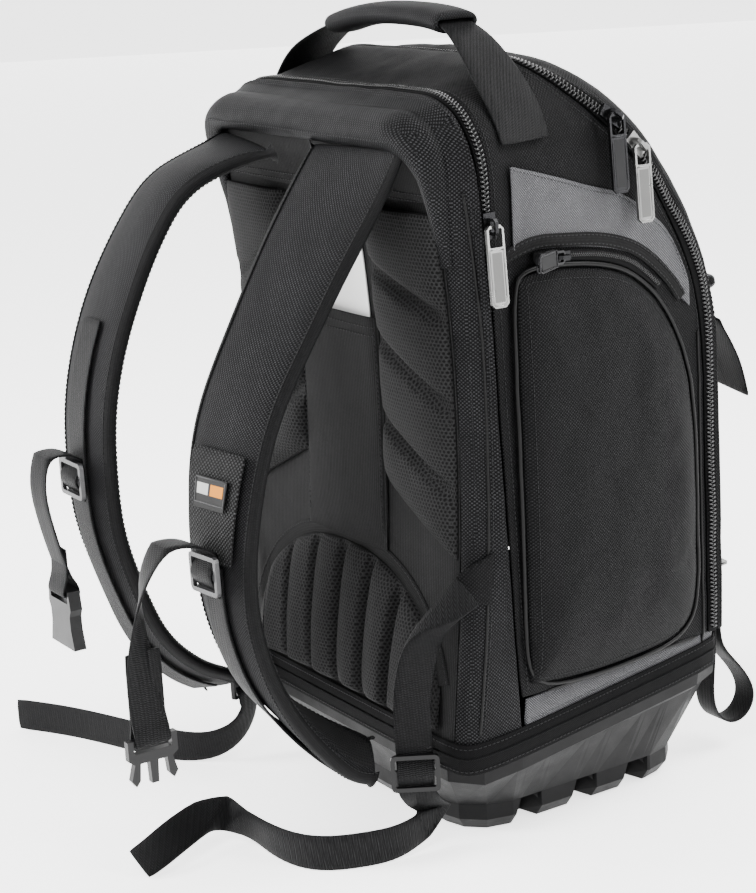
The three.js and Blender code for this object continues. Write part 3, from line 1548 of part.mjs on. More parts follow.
const hookTop = 160;
function hookShape() {
  const hook = [
    { z: 0, lift: seatLift },
    { z: 1, lift: 7 },
    { z: -3, lift: 9.5 },
    { z: -9, lift: 9 },
    { z: -14, lift: 10 },
    { z: -15, lift: 20 },
    { z: -17, lift: 20 },
    { z: -18, lift: 9 },
    { z: -26, lift: 7 },
    { z: -27, lift: seatLift },
  ];
  return frontStrip(hook.map(({ z, lift }) => ({ z: hookTop + z, lift })), 8, 1);
}

const frontStripWidth = 16;
const ringGap = 6;
const ringHalf = 12.5;
const ringHeight = 112;
const ringFoot = 8;
const ringPlane = frontFace(lineX, ringHeight, ringGap).y;
function ringShape() {
  const arc = shares(8).map((s) => {
    const turn = Math.PI * s;
    return vec(lineX + ringHalf * Math.cos(turn), ringPlane, ringHeight + ringHalf * Math.sin(turn) * 0.75);
  });
  const corner = ringHalf - 2;
  const foot = [-1, 1].map((side) => vec(lineX + side * corner, ringPlane, ringHeight - ringFoot));
  const rise = [-1, 1].map((side) => vec(lineX + side * ringHalf, ringPlane, ringHeight - ringFoot + 2));
  return wireLoop([...arc, rise[0], foot[0], foot[1], rise[1]], ringWire, 6);
}

// Webbing tab that holds the ring's top, as distances from the wire.
const tabRise = 10;
const tabLine = [
  { out: -2.8, rise: 3 },
  { out: -2.6, rise: -1.6 },
  { out: 0, rise: -3.6 },
  { out: 2.6, rise: -1.6 },
  { out: 2.5, rise: 3 },
  { out: 0.2, rise: 7 },
];
function ringTab() {
  const top = ringHeight + ringHalf * 0.75;
  const across = vec(1, 0, 0);
  const rows = tabLine.map(({ out, rise }) => ({ place: vec(lineX, ringPlane + out, top + rise), across }));
  rows.unshift({ place: frontFace(lineX, top + tabRise, seatLift), across });
  return ribbon(rows, frontStripWidth * 0.5, webbingThickness, 1);
}

// Webbing loop that hangs on the ring. "out" is a share of its spread and
// "down" of its drop below the ring's bar.
const loopWidth = 20;
const loopSpread = 35;
const loopDrop = 84;
const barWrap = 2.9;
const loopLine = [
  { out: 0.1, down: 0.2 },
  { out: 0.22, down: 0.3 },
  { out: 0.5, down: 0.43 },
  { out: 0.8, down: 0.58 },
  { out: 1, down: 0.74 },
  { out: 0.96, down: 0.88 },
  { out: 0.72, down: 0.98 },
  { out: 0.38, down: 1 },
  { out: 0.06, down: 0.92 },
  { out: -0.12, down: 0.78 },
  { out: -0.14, down: 0.6 },
  { out: -0.09, down: 0.4 },
  { out: -0.06, down: 0.22 },
];
function hangingLoop() {
  const wrap = [
    { y: -barWrap * 0.8, z: -6 },
    { y: -barWrap, z: 0 },
    { y: -barWrap * 0.6, z: barWrap * 0.8 },
    { y: 0, z: barWrap },
    { y: barWrap * 0.6, z: barWrap * 0.8 },
    { y: barWrap, z: 0 },
    { y: barWrap * 0.8, z: -6 },
  ];
  const bar = ringHeight - ringFoot;
  const path = [
    ...wrap.map(({ y, z }) => vec(lineX, ringPlane + y, bar + z)),
    ...loopLine.map(({ out, down }) => vec(lineX, ringPlane + out * loopSpread, bar - down * loopDrop)),
  ];
  const face = (sign) => path.map((p, i) => {
    const before = path[(i + path.length - 1) % path.length];
    const after = path[(i + 1) % path.length];
    const normal = vec(0, before.z - after.z, after.y - before.y).normalize();
    const middle = p.clone().addScaledVector(normal, sign * webbingThickness / 2);
    return [-0.5, 0.5].map((share) => middle.clone().add(vec(share * loopWidth, 0, 0)));
  });
  return slab(face(1), face(-1), true);
}

add("base_tray", baseTray(), "trayPlastic");
add("base_binding", baseBinding(), "blackWebbing");
add("base_stripe", baseStripe(), "greyWeave");
add("back_panel", backPanel(), "blackWeave");
add("rear_compartment", rearCompartment(), "blackWeave");
add("main_compartment", mainCompartment(), "blackWeave");
add("front_panel", frontPanel(), "blackWeave");
add("rear_zip", rearZip(), "zipCoil");
add("front_zip", frontZip(), "zipCoil");

const straps = {
  right: { table: rightStrap, side: 1, sternum: sternumRight, tail: rightTail, lean: 0 },
  left: { table: leftStrap, side: -1, sternum: sternumLeft, tail: leftTail, lean: 0 },
};
const sides = [["right", 1], ["left", -1]];
sides.forEach(([name, side]) => {
  add(`side_band_${name}`, sideBand(side), "greyWeave");
  add(`side_pocket_${name}`, sidePocket(side), "blackWeave");
  add(`pocket_piping_${name}`, pocketPiping(side), "blackWebbing");
  add(`pocket_zip_${name}`, pocketZip(side), "zipCoil");
  add(`back_pad_${name}`, upperPad(side), "blackMesh");
});
add("lumbar_pad", lumbarPad(), "blackMesh");
add("centre_sleeve", centreSleeve(), "blackWeave");
add("insert_card", insertCard(), "paper");
add("yoke_panel", yokePanel(), "blackWeave");
add("ridge_flap", ridgeFlap(), "blackWeave");

sides.forEach(([name, side]) => {
  const strap = straps[name];
  const slide = slidePose(strap, slideShare[name]);
  const buckle = bucklePose(slide, strap.sternum, strap.lean);
  const thickness = side > 0 ? prongThickness : buckleThickness;
  const railStart = side > 0 ? patchEnd + coverGap : railTop;
  add(`shoulder_strap_${name}`, shoulderStrap(strap.table, side), "blackWeave");
  add(`strap_rail_${name}`, strapRail(strap, railStart, railEnd), "blackWebbing");
  add(`strap_slide_${name}`, threeBarSlide(slide), side > 0 ? "metal" : "blackPlastic");
  const webbing = sternumWebbing(slide, strap.sternum, buckle, thickness, sternumBack[name]);
  add(`sternum_webbing_${name}`, webbing, "blackWebbing");
  if (side > 0) add("buckle_male", buckleMale(buckle), "metal");
  else add("buckle_female", buckleFemale(buckle), "blackPlastic");
  add(`adjuster_webbing_${name}`, adjusterWebbing(side, strap.tail), "blackWebbing");
  add(`adjuster_lock_${name}`, threeBarSlide(lockPose(side)), "blackPlastic");
  add(`anchor_wing_${name}`, anchorWing(side), "blackWeave");
});
add("strap_patch", strapPatch(), "blackWebbing");
add("strap_label", strapLabel(), "blackWeave");
add("handle_webbing", handleWebbing(), "blackWebbing");
add("handle_grip", handleGrip(), "rubber");

const pocketBar = 7.5;
const mainPull = (slider) => (
  pullTab(hangingPose(slider, barHeight, pullLean), pullLength, pullWidth, pullWindow)
);
add("rear_slider", zipSlider(rearSlider, barHeight), "gunmetal");
add("rear_pull", mainPull(rearSlider), "rubber");
add("front_slider_dark", zipSlider(darkSlider, barHeight), "gunmetal");
add("front_pull_dark", mainPull(darkSlider), "rubber");
add("front_slider_light", zipSlider(lightSlider, barHeight), "gunmetal");
add("front_pull_light", mainPull(lightSlider), "metal");
sides.forEach(([name, side]) => {
  const slider = pocketSliderPose(side);
  add(`pocket_slider_${name}`, zipSlider(slider, pocketBar, pocketZipWidth - 0.6), "gunmetal");
  const pull = pullTab(pocketPullPose(slider, pocketBar), pocketPullLength, pocketPullWidth, pocketPullWindow);
  add(`pocket_pull_${name}`, pull, "rubber");
});
add("front_tab", frontTab(), "greyWeave");
add("front_flap", frontFlap(), "blackWeave");
add("front_hook", hookShape(), "metal");
add("front_ring", ringShape(), "metal");
add("ring_tab", ringTab(), "blackWebbing");
add("hanging_loop", hangingLoop(), "blackWebbing");

export default pack;
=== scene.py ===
# Dressed look of the tool backpack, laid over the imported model.
# Sizes are in millimetres, as in the part's source, and are written in metres.
import heapq
import math
import bmesh
import bpy
from mathutils import Matrix, Vector, noise
from mathutils.bvhtree import BVHTree


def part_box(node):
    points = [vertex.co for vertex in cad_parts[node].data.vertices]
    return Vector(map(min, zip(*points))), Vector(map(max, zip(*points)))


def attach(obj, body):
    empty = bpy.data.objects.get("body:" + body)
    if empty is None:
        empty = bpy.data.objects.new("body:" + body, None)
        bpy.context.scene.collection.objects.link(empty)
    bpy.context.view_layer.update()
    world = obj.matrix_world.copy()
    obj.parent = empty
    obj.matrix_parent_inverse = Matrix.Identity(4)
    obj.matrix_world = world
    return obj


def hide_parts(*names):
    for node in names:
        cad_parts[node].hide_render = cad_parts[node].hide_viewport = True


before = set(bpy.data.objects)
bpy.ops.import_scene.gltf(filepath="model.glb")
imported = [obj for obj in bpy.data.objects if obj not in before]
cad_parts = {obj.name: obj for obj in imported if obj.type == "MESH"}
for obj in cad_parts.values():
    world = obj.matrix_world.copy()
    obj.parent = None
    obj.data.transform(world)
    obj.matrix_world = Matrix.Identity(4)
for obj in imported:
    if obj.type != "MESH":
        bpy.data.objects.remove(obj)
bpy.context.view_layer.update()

MM = 0.001
BESIDE, BEHIND = 160, -160  # beyond the pack's sides and its back
SHOULDER = 440  # height from which the sides lean in to the top

# Sizes repeated from the part's source
CLEARANCE = 0.3
BACK_WIDTH, FRONT_WIDTH = 300, 264
BACK_TOP, REAR_ZIP_TOP, FRONT_ZIP_TOP = 502, 508, 524
BACK_DEPTH, FRONT_DEPTH = 124, 109
LUMBAR_CURVE, LUMBAR_HEIGHT, LUMBAR_TOP = 20, 310, 192
LUMBAR_HALF, LUMBAR_CHANNEL = 122, 36
REAR_SEAM_BASE, REAR_SEAM_TOP = 73, 90
BACK_CORNER, FRONT_CORNER = 46, 58
RIM_REAR, RIM_FRONT, BINDING_HEIGHT, STRIPE_TOP = 62, 80, 22, 107
REAR_ZIP_END = 431
POCKET_REAR, POCKET_FRONT, POCKET_BOTTOM, POCKET_TOP = -66, 92, 110, 398
PIPING_RADIUS, POCKET_ZIP_WIDTH = 2, 7
RIDGE_BOTTOM = 479
STRAP_WIDTH = 68
BINDING_TOP = RIM_REAR + BINDING_HEIGHT


def lerp(a, b, t):
    return a + (b - a) * t


def clamp(v, lo, hi):
    return max(lo, min(hi, v))


def shares(count):
    return [i / count for i in range(count + 1)]


def along(table, column, at):
    """Smooth value of a column of a table whose first column is the share."""
    k = 1
    while k < len(table) - 1 and table[k][0] < at:
        k += 1

    def slope(row):
        before, after = table[max(row - 1, 0)], table[min(row + 1, len(table) - 1)]
        return (after[column] - before[column]) / (after[0] - before[0])

    a, b = table[k - 1], table[k]
    span = b[0] - a[0]
    t = clamp((at - a[0]) / span, 0, 1)
    return ((1 + 2 * t) * (1 - t) ** 2 * a[column] + t * t * (3 - 2 * t) * b[column]
            + t * (1 - t) ** 2 * span * slope(k - 1) + t * t * (t - 1) * span * slope(k))


# Body outline, as in the source
def side_x(y):
    share = clamp((y + REAR_SEAM_BASE) / (FRONT_DEPTH + REAR_SEAM_BASE), 0, 1)
    return lerp(BACK_WIDTH / 2, FRONT_WIDTH / 2, share)


def rim_z(y):
    return lerp(RIM_REAR, RIM_FRONT, clamp((y + BACK_DEPTH) / (FRONT_DEPTH + BACK_DEPTH), 0, 1))


def back_y(z):
    span = BACK_TOP - LUMBAR_HEIGHT if z > LUMBAR_HEIGHT else LUMBAR_HEIGHT - RIM_REAR
    return -BACK_DEPTH + LUMBAR_CURVE * (1 - ((max(z, BINDING_TOP) - LUMBAR_HEIGHT) / span) ** 2)


def rear_seam_y(z):
    share = max(z - BINDING_TOP, 0) / (REAR_ZIP_TOP - BINDING_TOP)
    return -lerp(REAR_SEAM_BASE, REAR_SEAM_TOP, share)


FRONT_LINE = [(0, 1), (0.6, 1), (0.69, 0.965), (0.755, 0.85), (0.81, 0.69), (0.865, 0.52),
              (0.906, 0.36), (0.94, 0.19), (1, -0.1)]


def front_seam_y(z):
    return (FRONT_DEPTH + 12) * along(FRONT_LINE, 1, z / FRONT_ZIP_TOP) - 12


class Ring:
    """A seam round the body: up one side, over the top and down the other."""

    def __init__(self, top, radius, y, base):
        self.top, self.radius, self.y, self.base = top, radius, y, base

    def point(self, z=None, angle=None, side=1.0):
        spring = self.top - self.radius
        turn = 0
        if angle is not None:
            turn = math.radians(angle)
            z = spring + self.radius * math.sin(turn)
        depth = self.y(z)
        reach = side_x(depth) - self.radius + self.radius * math.cos(turn)
        return Vector((reach * side, depth, z))

    def line(self, start, step=3.0):
        """Dense points from the right side's height "start" over the top to the left."""
        spring = self.top - self.radius
        up_side = [self.point(z=lerp(start, spring, s)) for s in shares(int((spring - start) / step))]
        corner = [self.point(angle=90 * s) for s in shares(int(self.radius * 1.57 / step))[1:]]
        reach = corner[-1].x
        top = [Vector((reach * (1 - 2 * s), *corner[-1].yz)) for s in shares(int(2 * reach / step))[1:-1]]
        left = [Vector((-p.x, p.y, p.z)) for p in reversed(up_side + corner)]
        return up_side + corner + top + left


front_ring = Ring(FRONT_ZIP_TOP, FRONT_CORNER, front_seam_y, STRIPE_TOP)
rear_ring = Ring(REAR_ZIP_TOP, BACK_CORNER + 2, rear_seam_y, RIM_REAR)


# Strap lines, as in the source: share, x, y, z, width, turn, roll
STRAP_SPREAD, STRAP_REACH, STRAP_TOP = 78, 130, RIDGE_BOTTOM - 3.6
RIGHT_STRAP = [
    (0, 0.885, 0.02, 1, 1.55, 0, 0),
    (0.05, 0.9, 0.16, 0.945, 1.3, 12, 0),
    (0.12, 0.91, 0.37, 0.865, 1.12, 19, 0),
    (0.21, 0.93, 0.58, 0.778, 1.04, 20, 0),
    (0.3, 0.96, 0.785, 0.69, 1, 18, 0),
    (0.4, 0.975, 0.9, 0.61, 1, 14, 0),
    (0.48, 0.985, 0.955, 0.53, 1, 8, 0),
    (0.56, 1, 0.97, 0.46, 1, 2, 0),
    (0.64, 1.025, 0.955, 0.388, 0.98, 0, 0),
    (0.73, 1.07, 0.87, 0.31, 0.94, 0, 6),
    (0.82, 1.14, 0.7, 0.24, 0.88, 0, 18),
    (0.91, 1.22, 0.47, 0.178, 0.78, 0, 30),
    (1, 1.28, 0.3, 0.15, 0.55, 0, 38),
]
LEFT_STRAP = [
    (0, 0.885, 0.042, 0.985, 1.55, 0, 0),
    (0.05, 0.93, 0.2, 0.972, 1.25, -8, 0),
    (0.13, 0.98, 0.5, 0.94, 1.1, -8, 0),
    (0.21, 1.02, 0.69, 0.875, 1.02, -4, 0),
    (0.3, 1.03, 0.86, 0.795, 1, 0, 0),
    (0.39, 1.03, 0.985, 0.713, 1, 0, 0),
    (0.47, 1.03, 1.06, 0.63, 1, 0, 0),
    (0.55, 1.03, 1.08, 0.54, 1, 0, 0),
    (0.63, 1.03, 1.06, 0.45, 0.98, 0, 0),
    (0.72, 1.04, 0.95, 0.35, 0.94, 0, 0),
    (0.81, 1.08, 0.82, 0.268, 0.88, 0, -10),
    (0.91, 1.18, 0.58, 0.195, 0.76, 0, -20),
    (1, 1.28, 0.32, 0.152, 0.55, 0, -26),
]


class Strap:
    """Place and axes along a shoulder strap at a share of its length."""

    def __init__(self, table, side):
        self.table, self.side = table, side

    def at(self, s):
        get = lambda column, share: along(self.table, column, share)
        point = lambda share: Vector((self.side * STRAP_SPREAD * get(1, share),
                                      -BACK_DEPTH - STRAP_REACH * get(2, share), STRAP_TOP * get(3, share)))
        tangent = (point(min(s + 0.012, 1)) - point(max(s - 0.012, 0))).normalized()
        turn, roll = math.radians(get(5, s)), math.radians(get(6, s))
        across = Vector((math.cos(turn) * math.cos(roll), math.sin(turn) * math.cos(roll), -math.sin(roll)))
        across = (across - tangent * across.dot(tangent)).normalized()
        return point(s), tangent, across, tangent.cross(across), STRAP_WIDTH * get(4, s)


right_strap = Strap(RIGHT_STRAP, 1)
left_strap = Strap(LEFT_STRAP, -1)


# Mesh building
def make(name, verts, faces, material, uvs=None, smooth=True, body="pack", slot=None):
    mesh = bpy.data.meshes.new(name)
    mesh.from_pydata([Vector(v) * MM for v in verts], [], faces)
    if uvs is not None:
        layer = mesh.uv_layers.new(name="UVMap")
        for loop in mesh.loops:
            layer.data[loop.index].uv = uvs[loop.vertex_index]
    mesh.validate()
    for polygon in mesh.polygons:
        polygon.use_smooth = smooth
    obj = bpy.data.objects.new(name, mesh)
    bpy.context.scene.collection.objects.link(obj)
    mesh.materials.append(material)
    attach(obj, body)
    return obj


def lengths(points):
    total = [0.0]
    for a, b in zip(points, points[1:]):
        total.append(total[-1] + (b - a).length)
    return total


def tube_strip(name, sections, material, closed_section=True, ring=False, cap=True, **more):
    """A skin through equal loops of points, with UVs in millimetres: u round the section, v along it."""
    n = len(sections[0])
    verts = [p for section in sections for p in section]
    run = lengths([sum(section, Vector()) / n for section in sections])
    uvs = []
    for i, section in enumerate(sections):
        u = lengths(section)
        uvs += [(u[j], run[i]) for j in range(n)]
    faces = []
    rows = len(sections)
    for i in range(rows if ring else rows - 1):
        k = (i + 1) % rows
        for j in range(n if closed_section else n - 1):
            m = (j + 1) % n
            faces.append((i * n + j, i * n + m, k * n + m, k * n + j))
    if cap and closed_section and not ring:
        faces.append(tuple(reversed(range(n))))
        faces.append(tuple((rows - 1) * n + j for j in range(n)))
    obj = make(name, verts, faces, material, uvs, **more)
    fix_normals(obj)
    return obj


def fix_normals(obj):
    bm = bmesh.new()
    bm.from_mesh(obj.data)
    bmesh.ops.recalc_face_normals(bm, faces=bm.faces)
    bm.to_mesh(obj.data)
    bm.free()


def spline(rows, split):
    """Catmull-Rom places between rows of vectors, "split" steps to a row."""
    out = []
    for i in range(len(rows) - 1):
        p0, p1, p2, p3 = rows[max(i - 1, 0)], rows[i], rows[i + 1], rows[min(i + 2, len(rows) - 1)]
        for k in range(split):
            t = k / split
            out.append(0.5 * ((2 * p1) + (p2 - p0) * t + (2 * p0 - 5 * p1 + 4 * p2 - p3) * t * t
                              + (3 * p1 - p0 - 3 * p2 + p3) * t ** 3))
    out.append(rows[-1])
    return out


def tube_faces(base, rows, n):
    """Faces of a closed tube of "rows" loops of n points, the first of them vertex "base"."""
    faces = []
    for a in range(base, base + (rows - 1) * n, n):
        faces += [(a + q, a + (q + 1) % n, a + (q + 1) % n + n, a + q + n) for q in range(n)]
    faces.append(tuple(base + q for q in reversed(range(n))))
    faces.append(tuple(base + (rows - 1) * n + q for q in range(n)))
    return faces


def axes_at(points, i, normal):
    """Directions along and across a line of points at one of them."""
    tangent = (points[min(i + 1, len(points) - 1)] - points[max(i - 1, 0)]).normalized()
    return tangent, normal.cross(tangent).normalized()


def eased(points, times):
    """A line's points with their unevenness smoothed out and its ends held."""
    for _ in range(times):
        points = points[:1] + [(a + 2 * b + c) / 4 for a, b, c in zip(points, points[1:], points[2:])] + points[-1:]
    return points


def baked(obj):
    """The object's mesh, smooth shaded, with its modifiers applied."""
    graph = bpy.context.evaluated_depsgraph_get()
    mesh = bpy.data.meshes.new_from_object(obj.evaluated_get(graph))
    obj.modifiers.clear()
    obj.data = mesh
    for polygon in mesh.polygons:
        polygon.use_smooth = True
    return mesh


def bead_row(name, points, normals, material, pitch=5.0, length=3.2, radius=0.42, **more):
    """Stitches: short rounded threads laid along a line, each sinking in at its ends."""
    verts, faces = [], []
    run = lengths(points)
    total = run[-1]
    count = max(int(total / pitch), 1)
    k = 0
    for c in range(count):
        centre = (c + 0.5) * total / count
        spots = []
        for offset in (-0.5, -0.3, 0.0, 0.3, 0.5):
            s = clamp(centre + offset * length, 0, total)
            while k > 0 and run[k] > s:
                k -= 1
            while k < len(run) - 2 and run[k + 1] < s:
                k += 1
            t = (s - run[k]) / max(run[k + 1] - run[k], 1e-6)
            lift = radius * (0.75 if abs(offset) < 0.4 else -0.7)
            spots.append((points[k].lerp(points[k + 1], t) + normals[k] * lift, normals[k]))
        tangent = (spots[-1][0] - spots[0][0]).normalized()
        base = len(verts)
        for p, normal in spots:
            side = tangent.cross(normal).normalized()
            up = side.cross(tangent)
            for q in range(5):
                turn = q * 2 * math.pi / 5 + 0.3
                verts.append(p + side * radius * math.cos(turn) + up * radius * math.sin(turn))
        faces += tube_faces(base, 5, 5)
    return make(name, verts, faces, material, **more)


def soften(node, name, material, levels=2, crease=0.75, angle=50, body="pack"):
    """A smooth copy of a node's solid: its facets joined, its sharp edges held and the rest rounded."""
    bm = bmesh.new()
    bm.from_mesh(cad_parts[node].data)
    bmesh.ops.remove_doubles(bm, verts=bm.verts, dist=1e-6)
    bmesh.ops.join_triangles(bm, faces=bm.faces, angle_face_threshold=math.radians(35),
                             angle_shape_threshold=math.radians(60))
    layer = bm.edges.layers.float.get("crease_edge") or bm.edges.layers.float.new("crease_edge")
    for edge in bm.edges:
        if len(edge.link_faces) == 2 and edge.calc_face_angle(0) > math.radians(angle):
            edge[layer] = crease
    mesh = bpy.data.meshes.new(name)
    bm.to_mesh(mesh)
    bm.free()
    mesh.materials.clear()
    mesh.materials.append(material)
    for polygon in mesh.polygons:
        polygon.use_smooth = True
    obj = bpy.data.objects.new(name, mesh)
    bpy.context.scene.collection.objects.link(obj)
    obj.matrix_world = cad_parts[node].matrix_world.copy()
    subdivide = obj.modifiers.new("smooth", "SUBSURF")
    subdivide.levels = subdivide.render_levels = levels
    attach(obj, body)
    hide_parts(node)
    return obj


def keep(node, material, bevel=0.0, segments=2):
    """A node whose shape stays: a better material and rounded edges."""
    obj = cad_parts[node]
    obj.data.materials.clear()
    obj.data.materials.append(material)
    for held in obj.material_slots:
        held.link = "OBJECT"
        held.material = material
    if bevel:
        edge = obj.modifiers.new("edges", "BEVEL")
        edge.width = bevel * MM
        edge.segments = segments
        edge.limit_method = "ANGLE"
        edge.angle_limit = math.radians(32)
        edge.harden_normals = False
    return obj


# Materials
class Shader:
    """A material built from nodes, in millimetres on the object's own frame."""

    def __init__(self, name, colour, rough, metal=0.0, sheen=0.0, coat=0.0, shine=0.5):
        self.mat = bpy.data.materials.new(name)
        self.mat.use_nodes = True
        self.tree = self.mat.node_tree
        self.out = self.tree.nodes["Principled BSDF"]
        self.out.inputs["Base Color"].default_value = (*colour, 1)
        self.out.inputs["Roughness"].default_value = rough
        self.out.inputs["Metallic"].default_value = metal
        self.out.inputs["Sheen Weight"].default_value = sheen
        self.out.inputs["Sheen Roughness"].default_value = 0.5
        self.out.inputs["Coat Weight"].default_value = coat
        self.out.inputs["Specular IOR Level"].default_value = shine
        self.colour = colour

    def link(self, a, b):
        self.tree.links.new(a, b)

    def put(self, socket, value):
        if isinstance(value, (int, float)):
            socket.default_value = value
        else:
            self.link(value, socket)

    def math(self, kind, a, b=None, c=None):
        node = self.tree.nodes.new("ShaderNodeMath")
        node.operation = kind
        self.put(node.inputs[0], a)
        if b is not None:
            self.put(node.inputs[1], b)
        if c is not None:
            self.put(node.inputs[2], c)
        return node.outputs[0]

    def place(self):
        """Object coordinates in millimetres."""
        coord = self.tree.nodes.new("ShaderNodeTexCoord")
        scale = self.tree.nodes.new("ShaderNodeVectorMath")
        scale.operation = "SCALE"
        self.link(coord.outputs["Object"], scale.inputs[0])
        scale.inputs["Scale"].default_value = 1000
        return scale.outputs[0]

    def split(self, vector):
        node = self.tree.nodes.new("ShaderNodeSeparateXYZ")
        self.link(vector, node.inputs[0])
        return node.outputs

    def flat(self):
        """Two coordinates in the plane that the surface faces."""
        x, y, z = self.split(self.place())
        geometry = self.tree.nodes.new("ShaderNodeNewGeometry")
        nx, ny, nz = (self.math("ABSOLUTE", n) for n in self.split(geometry.outputs["True Normal"]))
        is_x = self.math("GREATER_THAN", nx, self.math("MAXIMUM", ny, nz))
        is_z = self.math("GREATER_THAN", nz, self.math("MAXIMUM", nx, ny))
        u = self.math("ADD", self.math("MULTIPLY", x, self.math("SUBTRACT", 1, is_x)), self.math("MULTIPLY", y, is_x))
        v = self.math("ADD", self.math("MULTIPLY", z, self.math("SUBTRACT", 1, is_z)), self.math("MULTIPLY", y, is_z))
        return u, v

    def uv(self):
        node = self.tree.nodes.new("ShaderNodeUVMap")
        node.uv_map = "UVMap"
        u, v, _ = self.split(node.outputs[0])
        return u, v

    def wave(self, value, pitch, shape="SINE"):
        return self.math(shape, self.math("MULTIPLY", value, 2 * math.pi / pitch))

    def noise(self, scale, detail=2.0, rough=0.5, where=None):
        """Noise with features about "scale" millimetres wide."""
        node = self.tree.nodes.new("ShaderNodeTexNoise")
        node.inputs["Scale"].default_value = 1 / scale
        node.inputs["Detail"].default_value = detail
        node.inputs["Roughness"].default_value = rough
        self.link(where or self.place(), node.inputs["Vector"])
        return node.outputs["Fac"]

    def ramp(self, value, low, high):
        node = self.tree.nodes.new("ShaderNodeMapRange")
        node.interpolation_type = "SMOOTHSTEP"
        self.put(node.inputs["Value"], value)
        node.inputs["From Min"].default_value = low
        node.inputs["From Max"].default_value = high
        return node.outputs["Result"]

    def mix(self, share, a, b):
        node = self.tree.nodes.new("ShaderNodeMix")
        node.data_type = "RGBA"
        self.put(node.inputs["Factor"], share)
        for socket, value in ((node.inputs[6], a), (node.inputs[7], b)):
            if isinstance(value, tuple):
                socket.default_value = (*value, 1)
            else:
                self.link(value, socket)
        return node.outputs[2]

    def bump(self, height, depth, strength=1.0, after=None):
        """Bump of a height from 0 to 1 that stands for "depth" millimetres."""
        node = self.tree.nodes.new("ShaderNodeBump")
        node.inputs["Strength"].default_value = strength
        node.inputs["Distance"].default_value = depth * MM
        self.put(node.inputs["Height"], height)
        if after is not None:
            self.link(after, node.inputs["Normal"])
        self.link(node.outputs[0], self.out.inputs["Normal"])
        return node.outputs[0]

    def tint(self, colour):
        self.link(colour, self.out.inputs["Base Color"])

    def gloss(self, value):
        self.put(self.out.inputs["Roughness"], value)


def weave(name, dark, light, pitch, depth, rough, fold=0.8, twill=0.0, mapped=False, sheen=0.0, shine=0.06):
    """Cloth of coarse threads: raised crossings in a chequer, their tops painted lighter as a highlight and the hollows
    between them painted darker as shade, with slow folds under them.
    """
    s = Shader(name, dark, rough, sheen=sheen, shine=shine)
    u, v = s.uv() if mapped else s.flat()
    if twill:
        u, v = s.math("ADD", u, s.math("MULTIPLY", v, twill)), v
    hill = s.math("MULTIPLY", s.wave(u, 2 * pitch), s.wave(v, 2 * pitch))
    height = s.math("MULTIPLY_ADD", hill, 0.5, 0.5)
    patchy = s.noise(22, 3)
    speck = s.noise(pitch * 1.6, 1)
    # Painted highlight and shade: the lighter colour goes on the raised thread tops and the darker in the hollows. The
    # specks and patches vary the tone at random.
    share = s.math("MULTIPLY", s.ramp(height, 0.45, 0.95), s.math("MULTIPLY_ADD", speck, 1.2, 0.05))
    share = s.math("MULTIPLY", share, s.math("MULTIPLY_ADD", patchy, 0.9, 0.4))
    s.tint(s.mix(share, dark, light))
    slow = s.bump(s.noise(38, 2.5, 0.55), fold * 6, 0.5)
    s.bump(height, depth, 0.85, after=slow)
    return s.mat


def ribbed(name, dark, light, pitch, depth, rough, shine=0.07):
    """Webbing: fine ribs across its width, each broken along the strip, their tops painted lighter as a highlight."""
    s = Shader(name, dark, rough, shine=shine)
    u, v = s.uv()
    rib = s.wave(s.math("ADD", v, s.math("MULTIPLY", s.wave(u, pitch * 3.2), pitch * 0.22)), pitch)
    cross = s.wave(u, pitch * 1.6)
    height = s.math("MULTIPLY_ADD", s.math("ADD", rib, s.math("MULTIPLY", cross, 0.45)), 0.34, 0.5)
    # Painted highlight: the lighter colour goes on the raised ribs, with random specks in it.
    share = s.math("MULTIPLY", s.ramp(height, 0.4, 1.0), s.math("MULTIPLY_ADD", s.noise(2.5, 1), 1.1, 0.1))
    s.tint(s.mix(share, dark, light))
    slow = s.bump(s.noise(26, 2), 3.0, 0.4)
    s.bump(height, depth, 0.9, after=slow)
    return s.mat


def holes(name, dark, light, pitch, rough, mapped=False, shine=0.04):
    """Spacer mesh: a honeycomb of small round holes."""
    s = Shader(name, light, rough, shine=shine)
    u, v = s.uv() if mapped else s.flat()
    k = 0.8660254
    first = s.wave(v, pitch * k, "COSINE")
    second = s.wave(s.math("ADD", s.math("MULTIPLY", u, k), s.math("MULTIPLY", v, 0.5)), pitch * k, "COSINE")
    third = s.wave(s.math("SUBTRACT", s.math("MULTIPLY", u, k), s.math("MULTIPLY", v, 0.5)), pitch * k, "COSINE")
    total = s.math("ADD", first, s.math("ADD", second, third))
    hole = s.ramp(total, -0.4, 1.1)
    thread = s.math("MULTIPLY_ADD", s.noise(1.1, 2), 0.8, 0.3)
    s.tint(s.mix(hole, s.mix(thread, dark, light), (0.003, 0.003, 0.003)))
    slow = s.bump(s.noise(30, 2), 2.5, 0.4)
    s.bump(s.math("SUBTRACT", 1, hole), 1.1, 0.8, after=slow)
    return s.mat


def plain(name, colour, rough, metal=0.0, grain=0.0, grain_size=0.6, coat=0.0, worn=0.0, shine=0.12):
    s = Shader(name, colour, rough, metal, coat=coat, shine=shine)
    if grain:
        s.bump(s.noise(grain_size, 2.5, 0.6), grain, 0.6)
    s.gloss(s.math("MULTIPLY_ADD", s.noise(14, 4, 0.6), 0.22 + worn, rough - 0.11))
    return s.mat
